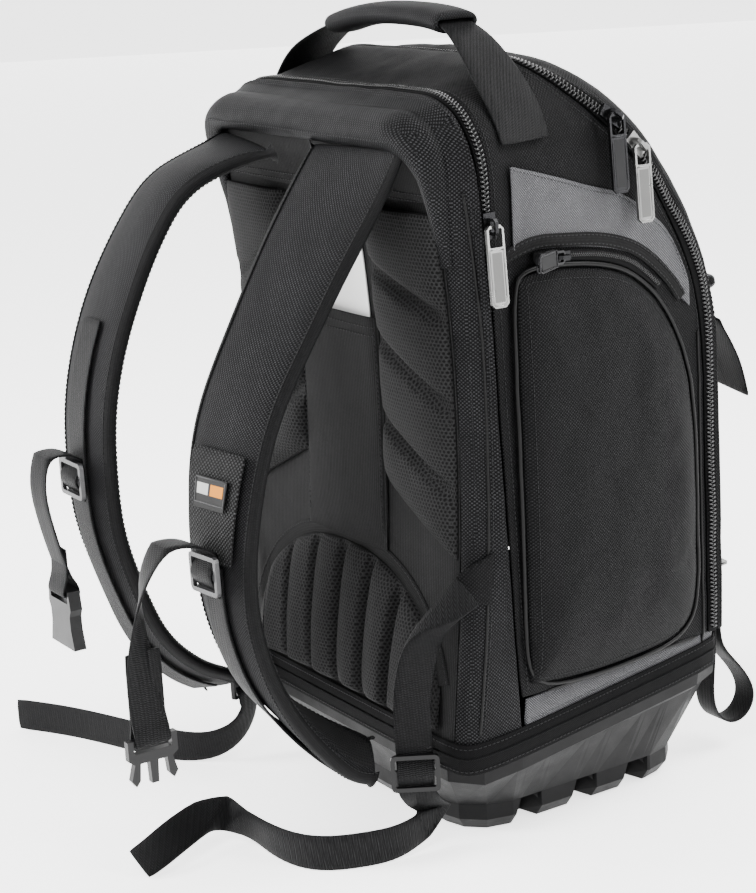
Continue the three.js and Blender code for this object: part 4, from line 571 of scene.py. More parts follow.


# In the weave and webbing finishes below, the first colour is the painted shade between the threads and the second is
# the painted highlight on their raised tops.
M = {
    "shell": weave("shell_weave", (0.0005, 0.0005, 0.0006), (0.038, 0.038, 0.0405), 1.25, 0.5, 0.55),
    "side": weave("side_weave", (0.0005, 0.0005, 0.0006), (0.0165, 0.0165, 0.0175), 1.2, 0.5, 0.6, fold=0.9),
    "strap": weave("strap_weave", (0.0008, 0.0008, 0.0009), (0.040, 0.040, 0.0425), 1.05, 0.35, 0.6, fold=0.5),
    "panel": weave("panel_weave", (0.0018, 0.0018, 0.0018), (0.032, 0.032, 0.033), 1.0, 0.4, 0.7, fold=0.9, twill=1.0),
    "grey": weave("grey_weave", (0.016, 0.016, 0.0175), (0.150, 0.150, 0.160), 0.95, 0.4, 0.42, fold=0.5, shine=0.2),
    "mesh": holes("spacer_mesh", (0.0015, 0.0015, 0.0015), (0.018, 0.018, 0.0183), 2.9, 0.65),
    "fine_mesh_uv": holes("strap_mesh_lining", (0.001, 0.001, 0.001), (0.012, 0.012, 0.0123), 2.6, 0.7, mapped=True),
    "felt_uv": ribbed("felt_tape_strip", (0.003, 0.003, 0.003), (0.019, 0.019, 0.0195), 1.1, 0.3, 0.7, shine=0.05),
    "web": ribbed("ribbed_webbing", (0.0008, 0.0008, 0.0009), (0.018, 0.018, 0.019), 1.25, 0.4, 0.5),
    "tape": ribbed("edge_tape", (0.0007, 0.0007, 0.0008), (0.0105, 0.0105, 0.011), 1.0, 0.3, 0.6),
    "patch": weave("patch_weave", (0.001, 0.001, 0.001), (0.042, 0.042, 0.0435), 1.5, 0.55, 0.5, fold=0.2),
    "felt": weave("felt_tape", (0.0007, 0.0007, 0.0008), (0.008, 0.008, 0.0085), 0.7, 0.3, 0.75, fold=0.8),
    "thread": plain("thread", (0.0085, 0.0085, 0.009), 0.5, shine=0.15),
    "grey_thread": plain("grey_thread", (0.035, 0.035, 0.037), 0.5, shine=0.15),
    "coil": plain("zip_coil", (0.0022, 0.0022, 0.0024), 0.2, coat=0.12, shine=0.3),
    "zip_tape": weave("zip_tape", (0.0006, 0.0006, 0.0007), (0.0035, 0.0035, 0.0038), 0.7, 0.2, 0.7, fold=0.0),
    "piping": plain("piping", (0.0015, 0.0015, 0.0016), 0.4, grain=0.12, grain_size=0.5, shine=0.12),
    "tray": plain("tray_plastic", (0.0016, 0.0016, 0.0018), 0.45, grain=0.14, grain_size=0.7, worn=0.1, shine=0.09),
    "plastic": plain("buckle_plastic", (0.003, 0.003, 0.0032), 0.32, grain=0.05, grain_size=0.7, shine=0.2),
    "slide": plain("slide_plastic", (0.035, 0.035, 0.0365), 0.28, grain=0.04, shine=0.3),
    "gunmetal": plain("dark_metal", (0.018, 0.018, 0.019), 0.26, 0.9),
    "metal": plain("light_metal", (0.16, 0.16, 0.157), 0.3, 0.95),
    "panel_metal": plain("pull_panel", (0.085, 0.085, 0.083), 0.45, 0.8, grain=0.05),
    "panel_dark": plain("pull_panel_dark", (0.012, 0.012, 0.0125), 0.5, 0.4, grain=0.05),
    "paper": plain("white_card", (0.62, 0.62, 0.61), 0.6),
    "amber": plain("amber_print", (0.42, 0.145, 0.0), 0.5),
    "rim": plain("grey_rim", (0.035, 0.035, 0.036), 0.4),
    "label": plain("label_rubber", (0.0015, 0.0015, 0.0015), 0.45),
    "white_print": plain("white_print", (0.32, 0.32, 0.31), 0.5),
    "print": plain("grey_print", (0.02, 0.02, 0.02), 0.6),
}


# Soft pieces: each takes the place of the plain solid of the same name
SOFT = [
    ("base_binding", "felt", "black_webbing", 1, 0.9), ("base_stripe", "grey", "grey_weave", 1, 0.9),
    ("back_panel", "panel", "black_weave", 2, 0.9), ("rear_compartment", "shell", "black_weave", 2, 0.9),
    ("main_compartment", "side", "black_weave", 2, 0.9), ("front_panel", "side", "black_weave", 2, 0.9),
    ("rear_zip", "zip_tape", "zip_coil", 2, 0.9), ("front_zip", "zip_tape", "zip_coil", 2, 0.9),
    ("side_band_", "grey", "grey_weave", 2, 0.95), ("side_pocket_", "side", "black_weave", 2, 0.9),
    ("pocket_piping_", "piping", "black_webbing", 2, 0), ("pocket_zip_", "zip_tape", "zip_coil", 2, 0.9),
    ("back_pad_", "mesh", "black_mesh", 3, 0.5), ("lumbar_pad", "mesh", "black_mesh", 3, 0.5),
    ("centre_sleeve", "panel", "black_weave", 2, 0.9), ("yoke_panel", "panel", "black_weave", 2, 0.9),
    ("shoulder_strap_", "strap", "black_weave", 2, 0.3), ("anchor_wing_", "side", "black_weave", 2, 0.9),
    ("handle_grip", "strap", "black_weave", 2, 0.4), ("front_flap", "side", "black_weave", 2, 0.9),
    ("front_tab", "grey", "grey_weave", 2, 0.9),
]


def nodes_of(name):
    """The node of that name, or the right and left nodes of one that ends in an underscore."""
    return [name + "right", name + "left"] if name.endswith("_") else [name]


soft = {}
for name, finish, slot, levels, crease in SOFT:
    for node in nodes_of(name):
        soft[node] = soften(node, "soft_" + node, M[finish], levels, crease)

# Strips of webbing, with their threads along them
STRIPS = [("strap_rail_right", "web"), ("strap_rail_left", "web"), ("sternum_webbing_right", "web"),
          ("sternum_webbing_left", "web"), ("adjuster_webbing_right", "web"), ("adjuster_webbing_left", "web"),
          ("handle_webbing", "web"), ("ring_tab", "web"), ("hanging_loop", "web"), ("strap_patch", "patch")]


def strip_map(obj):
    """Maps a strip: v runs along it over its faces' connections, u across it."""
    mesh = obj.data
    if "UVMap" in mesh.uv_layers:
        mesh.uv_layers.remove(mesh.uv_layers["UVMap"])
    layer = mesh.uv_layers.new(name="UVMap")
    bm = bmesh.new()
    bm.from_mesh(mesh)
    bm.verts.ensure_lookup_table()
    graph = {v.index: [(e.other_vert(v).index, e.calc_length()) for e in v.link_edges] for v in bm.verts}
    bm.free()

    def reach(source):
        cost = {i: 0.0 for i in source}
        heap = [(0.0, i) for i in source]
        heapq.heapify(heap)
        while heap:
            d, i = heapq.heappop(heap)
            if d > cost[i]:
                continue
            for j, length in graph[i]:
                if d + length < cost.get(j, 1e9):
                    cost[j] = d + length
                    heapq.heappush(heap, (d + length, j))
        return cost

    first = reach([0])
    far = max(first, key=first.get)
    ends = reach([i for i in first if first[i] > first[far] - 0.004])
    for loop in mesh.loops:
        co = mesh.vertices[loop.vertex_index].co
        layer.data[loop.index].uv = (co.dot(Vector((0.62, 0.78, 0.05))) * 1000, ends.get(loop.vertex_index, 0) * 1000)


for node, finish in STRIPS:
    soft[node] = soften(node, "soft_" + node, M[finish], 2, 0.85)
    strip_map(soft[node])


# Padded roll along the top of the back, round both corners and fading down the sides
ROLL_LOW, ROLL_INSET = 402, 14
ROLL_WIDE, ROLL_THICK = (5, 12.5), (1.5, 13.5)  # half width and thickness at its ends and over the top


def ridge_roll():
    top, radius, half = BACK_TOP - ROLL_INSET, BACK_CORNER - ROLL_INSET, BACK_WIDTH / 2 - ROLL_INSET
    path = [(Vector((half, 0, z)), Vector((1, 0, 0))) for z in range(ROLL_LOW, top - radius, 4)]
    for k in range(1, 15):
        turn = math.radians(90 * k / 15)
        way = Vector((math.cos(turn), 0, math.sin(turn)))
        path.append((Vector((half - radius, 0, top - radius)) + way * radius, way))
    reach = half - radius
    path += [(Vector((reach * (1 - 2 * k / 40), 0, top)), Vector((0, 0, 1))) for k in range(41)]
    path += [(Vector((-p.x, 0, p.z)), Vector((-w.x, 0, w.z))) for p, w in reversed(path[:path.index(path[-41])])]
    sections = []
    for p, way in path:
        full = clamp((p.z - ROLL_LOW) / (top - ROLL_LOW), 0, 1) ** 1.4
        wide, thick = lerp(*ROLL_WIDE, full), lerp(*ROLL_THICK, full)
        ripple = 0.5 * noise.noise(Vector((p.x / 16, 0, p.z / 16)))
        loop = []
        for k in range(13):
            turn = math.pi * k / 12
            a = -math.cos(turn) * wide
            h = math.sin(turn) ** 0.62 * (thick + ripple)
            depth = back_y(p.z) + max(a, 0) ** 1.5 * 0.22 - 0.6
            loop.append(Vector((p.x, 0, p.z)) + way * a + Vector((0, depth - h, 0)))
        loop.append(Vector((p.x, back_y(p.z) + 6, p.z)) + way * wide * 0.6)
        loop.append(Vector((p.x, back_y(p.z) + 3, p.z)) - way * wide * 0.6)
        sections.append(loop)
    roll = tube_strip("soft_ridge_flap", sections, M["shell"], slot="black_weave")
    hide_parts("ridge_flap")
    return roll


soft["ridge_flap"] = ridge_roll()


PAD_LEFT = 2.5  # least thickness that a crease leaves


def quilt(obj, crease, depth):
    """Presses sewn creases into a pad from the wearer's side."""
    for v in baked(obj).vertices:
        x, y, z = (c * 1000 for c in v.co)
        stand = back_y(z) - y
        v.co.y += min(depth * crease(x, z), max(stand - PAD_LEFT, 0)) * MM


PAD_INNER, YOKE_BOTTOM = 52, 440
PAD_CREASES = [(0.665, 0.5), (0.79, 0.48), (0.9, 0.34)]


def upper_crease(x, z):
    reach = abs(x) - PAD_INNER
    near = min(abs(z - (YOKE_BOTTOM * h - fall * reach)) for h, fall in PAD_CREASES)
    return math.exp(-(near / 4.2) ** 2)


def lumbar_crease(x, z):
    lean = 1 - 0.1 * (LUMBAR_TOP - z) / (LUMBAR_TOP - 88)
    place = x / lean / LUMBAR_CHANNEL
    near = abs(place - round(place)) * LUMBAR_CHANNEL
    return math.exp(-(near / 3.4) ** 2)


def settle(obj, amount=1.5):
    """Gives cloth slow unevenness, the same for pieces that lie on each other."""
    for v in baked(obj).vertices:
        p = v.co * 1000
        calm = min((abs(p.x) - abs(q[0])) ** 2 + (p.y - q[1]) ** 2 + (p.z - q[2]) ** 2 for q in QUIET)
        ease = clamp((calm ** 0.5 - 12) / 25, 0, 1) * clamp((p.z - 108) / 40, 0, 1)
        swell = noise.noise(Vector((p.x / 90, p.y / 26, p.z / 75))) + 0.5 * noise.noise(p / 17)
        way = Vector((p.x, 0.25 * p.y, max(p.z - SHOULDER, 0) * 1.6)).normalized()
        v.co += way * amount * ease * swell * MM


# Places near sliders, where the cloth stays flat
QUIET = [(150, -87, 428), (146, 22, 484), (147, 42, 464), (148, -31, 401)]
bpy.context.view_layer.update()
for node in ("rear_compartment", "main_compartment", "front_panel", "rear_zip", "front_zip"):
    settle(soft[node])
for name in ("side_band_", "side_pocket_", "pocket_piping_", "pocket_zip_"):
    for node in nodes_of(name):
        settle(soft[node])
quilt(soft["back_pad_right"], upper_crease, 9)
quilt(soft["back_pad_left"], upper_crease, 9)
quilt(soft["lumbar_pad"], lumbar_crease, 8)

# Hard pieces: their shape stays
HARD = [
    ("base_tray", "tray", 1.2, 3), ("strap_slide_", "slide", 0.5, 2), ("adjuster_lock_", "plastic", 0.4, 2),
    ("buckle_male", "plastic", 0.5, 2), ("buckle_female", "plastic", 0.6, 2), ("rear_slider", "gunmetal", 0.35, 2),
    ("front_slider_dark", "gunmetal", 0.35, 2), ("pocket_slider_", "gunmetal", 0.35, 2),
    ("front_slider_light", "metal", 0.35, 2), ("rear_pull", "metal", 0.35, 2), ("front_pull_light", "metal", 0.35, 2),
    ("front_pull_dark", "gunmetal", 0.35, 2), ("pocket_pull_", "gunmetal", 0.3, 2), ("front_hook", "metal", 0, 2),
    ("front_ring", "metal", 0, 2), ("strap_label", "label", 0.3, 2), ("insert_card", "paper", 0.1, 2),
]
for name, finish, bevel, segments in HARD:
    for node in nodes_of(name):
        keep(node, M[finish], bevel, segments)


# Surfaces to lay seams and threads on
def skin_of(*objs):
    graph = bpy.context.evaluated_depsgraph_get()
    verts, faces = [], []
    for obj in objs:
        mesh = obj.evaluated_get(graph).to_mesh()
        base = len(verts)
        verts += [obj.matrix_world @ v.co * 1000 for v in mesh.vertices]
        faces += [[base + i for i in p.vertices] for p in mesh.polygons]
        obj.evaluated_get(graph).to_mesh_clear()
    return BVHTree.FromPolygons(verts, faces)


bpy.context.view_layer.update()
trees = {}


def tree_of(*names):
    if names not in trees:
        trees[names] = skin_of(*(soft[n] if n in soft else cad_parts[n] for n in names))
    return trees[names]


def lay(points, names, outward=None, limit=25, lift=0.0):
    """Each point moved to the nearest place on those pieces, with the direction out of them there."""
    tree = tree_of(*names)
    out = []
    for p in points:
        if outward is not None:
            way = outward(p) if callable(outward) else Vector(outward)
            hit = tree.ray_cast(p + way * limit, -way, limit * 2)
        else:
            hit = tree.find_nearest(p, limit)
        if hit[0] is None:
            continue
        normal = hit[1].normalized()
        if outward is not None and normal.dot(way) < 0:
            normal = -normal
        out.append((hit[0] + normal * lift, normal))
    return out


def even(points, step):
    """Points at equal steps along a line."""
    run = lengths(points)
    count = max(int(run[-1] / step), 1)
    out, k = [], 0
    for c in range(count + 1):
        s = run[-1] * c / count
        while k < len(run) - 2 and run[k + 1] < s:
            k += 1
        out.append(points[k].lerp(points[k + 1], clamp((s - run[k]) / max(run[k + 1] - run[k], 1e-6), 0, 1)))
    return out


def row_of(name, spots, material="thread", pitch=3.6, length=2.5, radius=0.33):
    """Stitches along places that each come with the direction out of the cloth."""
    points, normals = zip(*spots)
    return bead_row(name, points, normals, M[material], pitch, length, radius, slot="black_webbing")


def stitches(name, points, names, outward=None, limit=25, **more):
    """Stitches along a line laid on those pieces."""
    row_of(name, lay(even(points, 3), names, outward, limit), **more)


def band(name, points, names, material, width, thick, outward=None, limit=25, step=4, sink=0.3, slot="black_webbing"):
    """A tape laid flat along a line on those pieces, and its two edge lines."""
    spots = lay(even(points, step), names, outward, limit)
    places = eased([p for p, _ in spots], 2)
    sections, sides = [], ([], [])
    half = width / 2
    for i, (p, normal) in enumerate(zip(places, [n for _, n in spots])):
        _, across = axes_at(places, i, normal)
        loop = []
        for a, h in ((-half, -sink), (-half + 0.15, thick * 0.7), (-half + 1.1, thick), (0, thick * 1.05),
                     (half - 1.1, thick), (half - 0.15, thick * 0.7), (half, -sink)):
            loop.append(p + across * a + normal * h)
        sections.append(loop)
        for side, sign in zip(sides, (-1, 1)):
            side.append((p + across * sign * (half - 1.7) + normal * thick, normal))
    obj = tube_strip(name, sections, material, closed_section=False, cap=False, slot=slot)
    profile = (-half, -half + 0.3, -half + 1.2, 0, half - 1.2, half - 0.3, half)
    for loop in obj.data.loops:
        obj.data.uv_layers[0].data[loop.index].uv[0] = profile[loop.vertex_index % 7]
    return sides


def cord_on(name, points, normals, radius, material, slot="black_webbing", sides=8, lift=0.0):
    """A round cord along a line, as one piece."""
    sections = []
    for i, (p, normal) in enumerate(zip(points, normals)):
        tangent, across = axes_at(points, i, normal)
        up = tangent.cross(across)
        sections.append([p + up * lift + across * radius * math.cos(2 * math.pi * q / sides)
                         + up * radius * math.sin(2 * math.pi * q / sides) for q in range(sides)])
    return tube_strip(name, sections, material, slot=slot)


def piping(name, points, names, outward, limit, radius, lift):
    """A thin cord sewn along a line laid on those pieces."""
    spots = lay(even(points, 4), names, outward, limit)
    cord_on(name, [p for p, _ in spots], [n for _, n in spots], radius, M["piping"], lift=lift)


# Zips: two columns of coil teeth along each seam
LARGE = dict(pitch=2.9, reach=3.4, size=0.86, height=1.7)
SMALL = dict(pitch=1.7, reach=1.8, size=0.4, height=0.9)


def teeth(name, spots, pitch, reach, size, height):
    verts, faces = [], []
    places = [p for p, _ in spots]
    run = lengths(places)
    count = int(run[-1] / pitch)
    k = 0
    for c in range(count * 2):
        s = (c + 0.5) * pitch / 2
        while k < len(run) - 2 and run[k + 1] < s:
            k += 1
        t = clamp((s - run[k]) / max(run[k + 1] - run[k], 1e-6), 0, 1)
        p = places[k].lerp(places[k + 1], t)
        normal = spots[k][1].lerp(spots[k + 1][1], t).normalized()
        tangent = (places[k + 1] - places[k]).normalized()
        across = normal.cross(tangent).normalized() * (1 if c % 2 else -1)
        base = len(verts)
        lean = (across + tangent * 0.28).normalized()
        for a, scale in ((-0.25, 0.55), (0.1, 1.0), (0.75, 1.0), (1.0, 0.45)):
            middle = p + lean * reach * a + normal * height * (0.42 if a in (0.1, 0.75) else 0.25)
            for q in range(6):
                turn = q * math.pi / 3
                verts.append(middle + tangent * size * scale * math.cos(turn)
                             + normal * size * 1.1 * scale * math.sin(turn))
        faces += tube_faces(base, 4, 6)
    fix_normals(make(name, verts, faces, M["coil"], slot="zip_coil"))


def outwards(p):
    """Straight out of the pack's side and over its top."""
    return Vector((p.x, 0, max(p.z - SHOULDER, 0) * 1.6)).normalized()


rear_line = rear_ring.line(REAR_ZIP_END - 1, 3)
front_line = front_ring.line(STRIPE_TOP + 3, 3)


def front_out(p):
    up = clamp((p.z - 430) / 60, 0, 1)
    return Vector((p.x, 40 + 30 * up, max(p.z - SHOULDER, 0) * 1.8)).normalized()


for name, line, shells in (("rear", rear_line, ("rear_compartment", "main_compartment")),
                           ("front", front_line, ("main_compartment", "front_panel"))):
    spots = lay(even(line, 3), (name + "_zip",), outwards if name == "rear" else front_out, 12)
    places = eased([p for p, _ in spots], 3)
    normals = [n for _, n in spots]
    smoothed = []
    for i in range(len(normals)):
        smoothed.append(sum((normals[clamp(i + d, 0, len(normals) - 1)] for d in range(-3, 4)), Vector()).normalized())
    spots = list(zip(places, smoothed))
    teeth(name + "_zip_teeth", spots, **LARGE)
    for sign in (-1, 1):
        sewn = []
        for i, (p, normal) in enumerate(spots):
            _, across = axes_at(places, i, normal)
            sewn.append(p + across * sign * 8.6 + normal * 1.5)
        stitches(f"{name}_zip_stitches_{'b' if sign > 0 else 'a'}", sewn, shells, limit=12)

# Sewn edge between the back panel and the side, and down the side's rear edge
for side, tag in ((1, "right"), (-1, "left")):
    edge = [Vector((side * (BACK_WIDTH / 2 + 6), back_y(z) + 15, z)) for z in range(96, 452, 4)]
    stitches("edge_stitches_" + tag, edge, ("rear_compartment",), (side, 0, 0))
    edge = [Vector((side * BESIDE, back_y(z) + 9, z)) for z in range(90, 452, 4)]
    piping("edge_piping_" + tag, edge, ("rear_compartment",), (side, -0.3, 0), 30, 1.1, 0.2)
    seam = [Vector((side * BESIDE, rear_seam_y(z) + 6.5, z)) for z in range(112, 428, 4)]
    stitches("seam_stitches_" + tag, seam, ("main_compartment",), (side, 0, 0))

# Side pocket: black tape over its zip, seams round it and teeth in its zip
POCKET_OUTLINE = [
    (0, 0.02), (0.3, 0), (0.6, 0), (0.84, 0.008), (0.95, 0.04), (1, 0.11), (1, 0.3), (1, 0.5), (0.985, 0.62),
    (0.94, 0.72), (0.87, 0.8), (0.78, 0.868), (0.64, 0.93), (0.48, 0.962), (0.28, 0.978), (0.1, 0.985),
    (0.02, 0.975), (0, 0.94), (0, 0.72), (0, 0.48), (0, 0.24), (0, 0.12)]


def outline(first, last, outset, side):
    """Points along the pocket's edge, moved out of it, from one outline place to another."""
    n = len(POCKET_OUTLINE)
    rows = []
    at = lambda i: (lerp(POCKET_REAR, POCKET_FRONT, POCKET_OUTLINE[i % n][0]),
                    lerp(POCKET_BOTTOM, POCKET_TOP, POCKET_OUTLINE[i % n][1]))
    for i in range(first, last + 1):
        (ya, za), (yb, zb), (y, z) = at(i - 1), at(i + 1), at(i)
        size = math.hypot(yb - ya, zb - za)
        rows.append(Vector((side * BESIDE, y + (zb - za) / size * outset, z - (yb - ya) / size * outset)))
    return spline(rows, 6)


for side, tag in ((1, "right"), (-1, "left")):
    way = (side, 0, 0)
    zip_lift = PIPING_RADIUS * 2 + CLEARANCE * 3 + POCKET_ZIP_WIDTH / 2
    spots = lay(even(outline(11, 15, zip_lift, side), 2), ("pocket_zip_" + tag,), way)
    teeth("pocket_zip_teeth_" + tag, spots, **SMALL)
    over = outline(8, 16, zip_lift + 9.5, side)
    over = [p for p in over if p.z > 290]
    sides = band("pocket_zip_tape_" + tag, over, ("main_compartment", "side_band_" + tag), M["felt_uv"], 9, 1.0, way)
    for k, line in enumerate(sides):
        row_of(f"pocket_tape_stitches_{tag}_{k}", line)
    inner = outline(0, len(POCKET_OUTLINE), -6.5, side)
    stitches("pocket_stitches_" + tag, inner, ("side_pocket_" + tag,), way, pitch=3.2, length=2.2, radius=0.28)


# Grey side band and lower stripe: a row of stitches inside each edge
FINE = dict(pitch=3, length=2, radius=0.25)
BAND_EDGES = [(0, 1.026, 1.163), (0.25, 1.019, 1.133), (0.44, 1.009, 1.108), (0.61, 0.992, 1.088),
              (0.77, 0.962, 1.045), (0.86, 0.928, 1.02), (0.95, 0.886, 0.975), (1, 0.872, 0.92)]
for side, tag in ((1, "right"), (-1, "left")):
    way = (side, 0, 0)
    for column, inset, word in ((1, 3, "low"), (2, -3, "high")):
        line = [Vector((side * BESIDE, lerp(POCKET_REAR + 2, POCKET_FRONT - 2, s),
                        POCKET_TOP * along(BAND_EDGES, column, s) + inset)) for s in shares(40)]
        stitches(f"band_stitches_{tag}_{word}", line, ("side_band_" + tag,), way, **FINE,
                 material="grey_thread" if word == "low" else "thread")
    corner = [Vector((side * BESIDE, front_seam_y(z) - 9, z)) for z in range(100, 330, 4)]
    piping("side_piping_" + tag, corner, ("main_compartment", "base_stripe"), way, 40, 1.0, 0.3)
    low = [Vector((side * BESIDE, y, STRIPE_TOP - 0.5)) for y in range(-66, 98, 4)]
    piping("stripe_piping_" + tag, low, ("main_compartment", "base_stripe"), way, 40, 1.3, 0.4)
    stripe = [Vector((side * BESIDE, y, rim_z(y) + BINDING_HEIGHT + 2.5)) for y in range(-66, 100, 4)]
    stitches("stripe_stitches_" + tag, stripe, ("base_stripe",), way, **FINE, material="grey_thread")

# Binding over the tray's rim: a folded edge and two rows of stitches
loop = [(-135, -128), (0, -132), (135, -128), (151, -100), (150, -70), (144, 0), (136, 80), (131, 108), (105, 122),
        (60, 132), (0, 136)]
half_loop = spline([Vector((x, y, 0)) for x, y in loop], 8)
full_loop = half_loop + [Vector((-p.x, p.y, 0)) for p in reversed(half_loop[:-1])]
full_loop = even(full_loop, 4)
for k, rise in enumerate((3, 12, BINDING_HEIGHT - 3)):
    spots = []
    for p in full_loop:
        way = Vector((p.x, p.y, 0)).normalized()
        spots += lay([Vector((p.x, p.y, rim_z(p.y) + rise))], ("base_binding",), way, 40)
    if k == 1:
        cord_on("binding_fold", [p + n * 0.1 for p, n in spots], [n for _, n in spots], 0.9, M["felt"])
    else:
        row_of(f"binding_stitches_{k}", spots, "thread", 3.4, 2.3, 0.3)

# Shoulder straps: ribbed tape round both edges, sewn down, and mesh inside
for strap, tag in ((right_strap, "right"), (left_strap, "left")):
    name = "shoulder_strap_" + tag
    tree = tree_of(name)
    rows = [strap.at(s) for s in shares(130)]
    for sign, edge in ((1, "outer"), (-1, "inner")):
        sections, top_line, low_line = [], [], []
        for origin, _, across, normal, width in rows:
            loop = []
            hub = origin + across * sign * (width / 2 - 6)
            for turn in range(-75, 76, 15):
                a = math.radians(turn)
                way = (across * sign * math.cos(a) + normal * math.sin(a)).normalized()
                hit = tree.ray_cast(hub + way * 30, -way, 60)
                p = hit[0] + way * 0.9 if hit[0] is not None else hub + way * 8
                loop.append(p)
            loop = [hub + (loop[0] - hub) * 0.86] + loop + [hub + (loop[-1] - hub) * 0.86]
            sections.append(loop)
            top_line.append((loop[-3] * 0.6 + loop[-2] * 0.4, normal))
            low_line.append((loop[2] * 0.6 + loop[1] * 0.4, -normal))
        tube_strip(f"strap_edge_{tag}_{edge}", sections, M["tape"], closed_section=False, cap=False,
                   slot="black_webbing")
        for line, word in ((top_line, "front"), (low_line, "back")):
            points = even([p for p, _ in line], 3)
            normals = [line[min(int(k * len(line) / len(points)), len(line) - 1)][1] for k in range(len(points))]
            row_of(f"strap_stitches_{tag}_{edge}_{word}", list(zip(points, normals)), "thread", 3.4, 2.4, 0.3)
    # Mesh lining on the side that meets the wearer
    sections = []
    for origin, _, across, normal, width in rows[2:-2]:
        loop = []
        for k in range(11):
            share = -0.5 + k / 10
            p = origin + across * share * (width - 14)
            hit = tree.ray_cast(p - normal * 30, normal, 60)
            loop.append((hit[0] if hit[0] is not None else p) - normal * (0.6 if 0 < k < 10 else -1.0))
        sections.append(loop)
    tube_strip("strap_lining_" + tag, sections, M["fine_mesh_uv"], closed_section=False, cap=False, slot="black_mesh")

# Arched tape over the lumbar pad and seams of the back panel
BACKWARDS = (0, -1, 0)
bottom = BINDING_TOP + 4
arch = []
for s in shares(60):
    reach = (2 * s - 1) * 0.985
    top = lerp(bottom, LUMBAR_TOP, math.sqrt(1 - abs(reach * 0.985) ** 2.4))
    arch.append(Vector((reach * (LUMBAR_HALF + 1), -150, top + 4)))
arch = [p for p in arch if p.z > 96]
for k, line in enumerate(band("lumbar_tape", arch, ("back_panel", "lumbar_pad"), M["felt_uv"], 13, 1.2, BACKWARDS, 60)):
    row_of(f"lumbar_tape_stitches_{k}", line)
for side, tag in ((1, "right"), (-1, "left")):
    line = [Vector((side * 47.5, BEHIND, z)) for z in range(205, 352, 4)]
    stitches("sleeve_stitches_" + tag, line, ("centre_sleeve",), BACKWARDS, 60)
for word, z in (("top", 351), ("hem", 345)):
    line = [Vector((x, BEHIND, z)) for x in range(-48, 49, 3)]
    stitches("sleeve_stitches_" + word, line, ("centre_sleeve",), BACKWARDS, 60)
for k, z in enumerate((443.5, 448)):
    line = [Vector((x, BEHIND, z)) for x in range(-130, 131, 4)]
    stitches(f"yoke_stitches_{k}", line, ("yoke_panel",), BACKWARDS, 60)
line = [Vector((x, -170, RIDGE_BOTTOM + 3.5)) for x in range(-120, 121, 4)]
stitches("ridge_stitches", line, ("ridge_flap",), BACKWARDS, 80)

# Card: a few plain grey curves, each with its centre, radius, first and last angle
CARD_CURVES = ((6, 392, 19, 20, 200), (6, 392, 11, 160, 400), (-18, 378, 9, 0, 260), (24, 402, 8, 90, 330))
for k, (cx, cz, radius, start, end) in enumerate(CARD_CURVES):
    turns = [math.radians(lerp(start, end, s)) for s in shares(24)]
    line = [Vector((cx + radius * math.cos(turn), BEHIND, cz + 0.8 * radius * math.sin(turn))) for turn in turns]
    band(f"card_curve_{k}", line, ("insert_card",), M["print"], 4.5 - k * 0.6, 0.12, BACKWARDS, 60, 2, sink=0.0,
         slot="paper")


# Strap label: a raised rim and plain bars
label_low, label_high = (p * 1000 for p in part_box("strap_label"))
centre = (label_low + label_high) / 2
best = min((k / 400 for k in range(401)), key=lambda s: abs(right_strap.at(s)[0].z - centre.z))
origin, tangent, across, normal, _ = right_strap.at(best)
lift = (centre - origin).dot(normal) + 6


def on_label(a, t):
    p = origin + across * a + tangent * t + normal * (lift + 12)
    return tree_of("strap_label").ray_cast(p, -normal, 40)[0]


rim = []
for a0, t0, a1, t1 in ((-14, -9, 14, -9), (14, -9, 14, 9), (14, 9, -14, 9), (-14, 9, -14, -9)):
    rim += [on_label(lerp(a0, a1, s), lerp(t0, t1, s)) for s in shares(8)[:-1]]
rim = [p for p in rim if p is not None]
cord_on("label_rim", rim + rim[:1], [normal] * (len(rim) + 1), 0.45, M["rim"], slot="rubber")
for k, (a0, a1, colour) in enumerate(((-12.5, -1.5, "white_print"), (0.5, 12.5, "amber"))):
    verts = [on_label(a, t) + normal * 0.15 for a in (a0, a1) for t in (-3.6, 3.6)]
    make(f"label_bar_{k}", verts, [(0, 1, 3, 2)], M[colour], smooth=False, slot="paper")


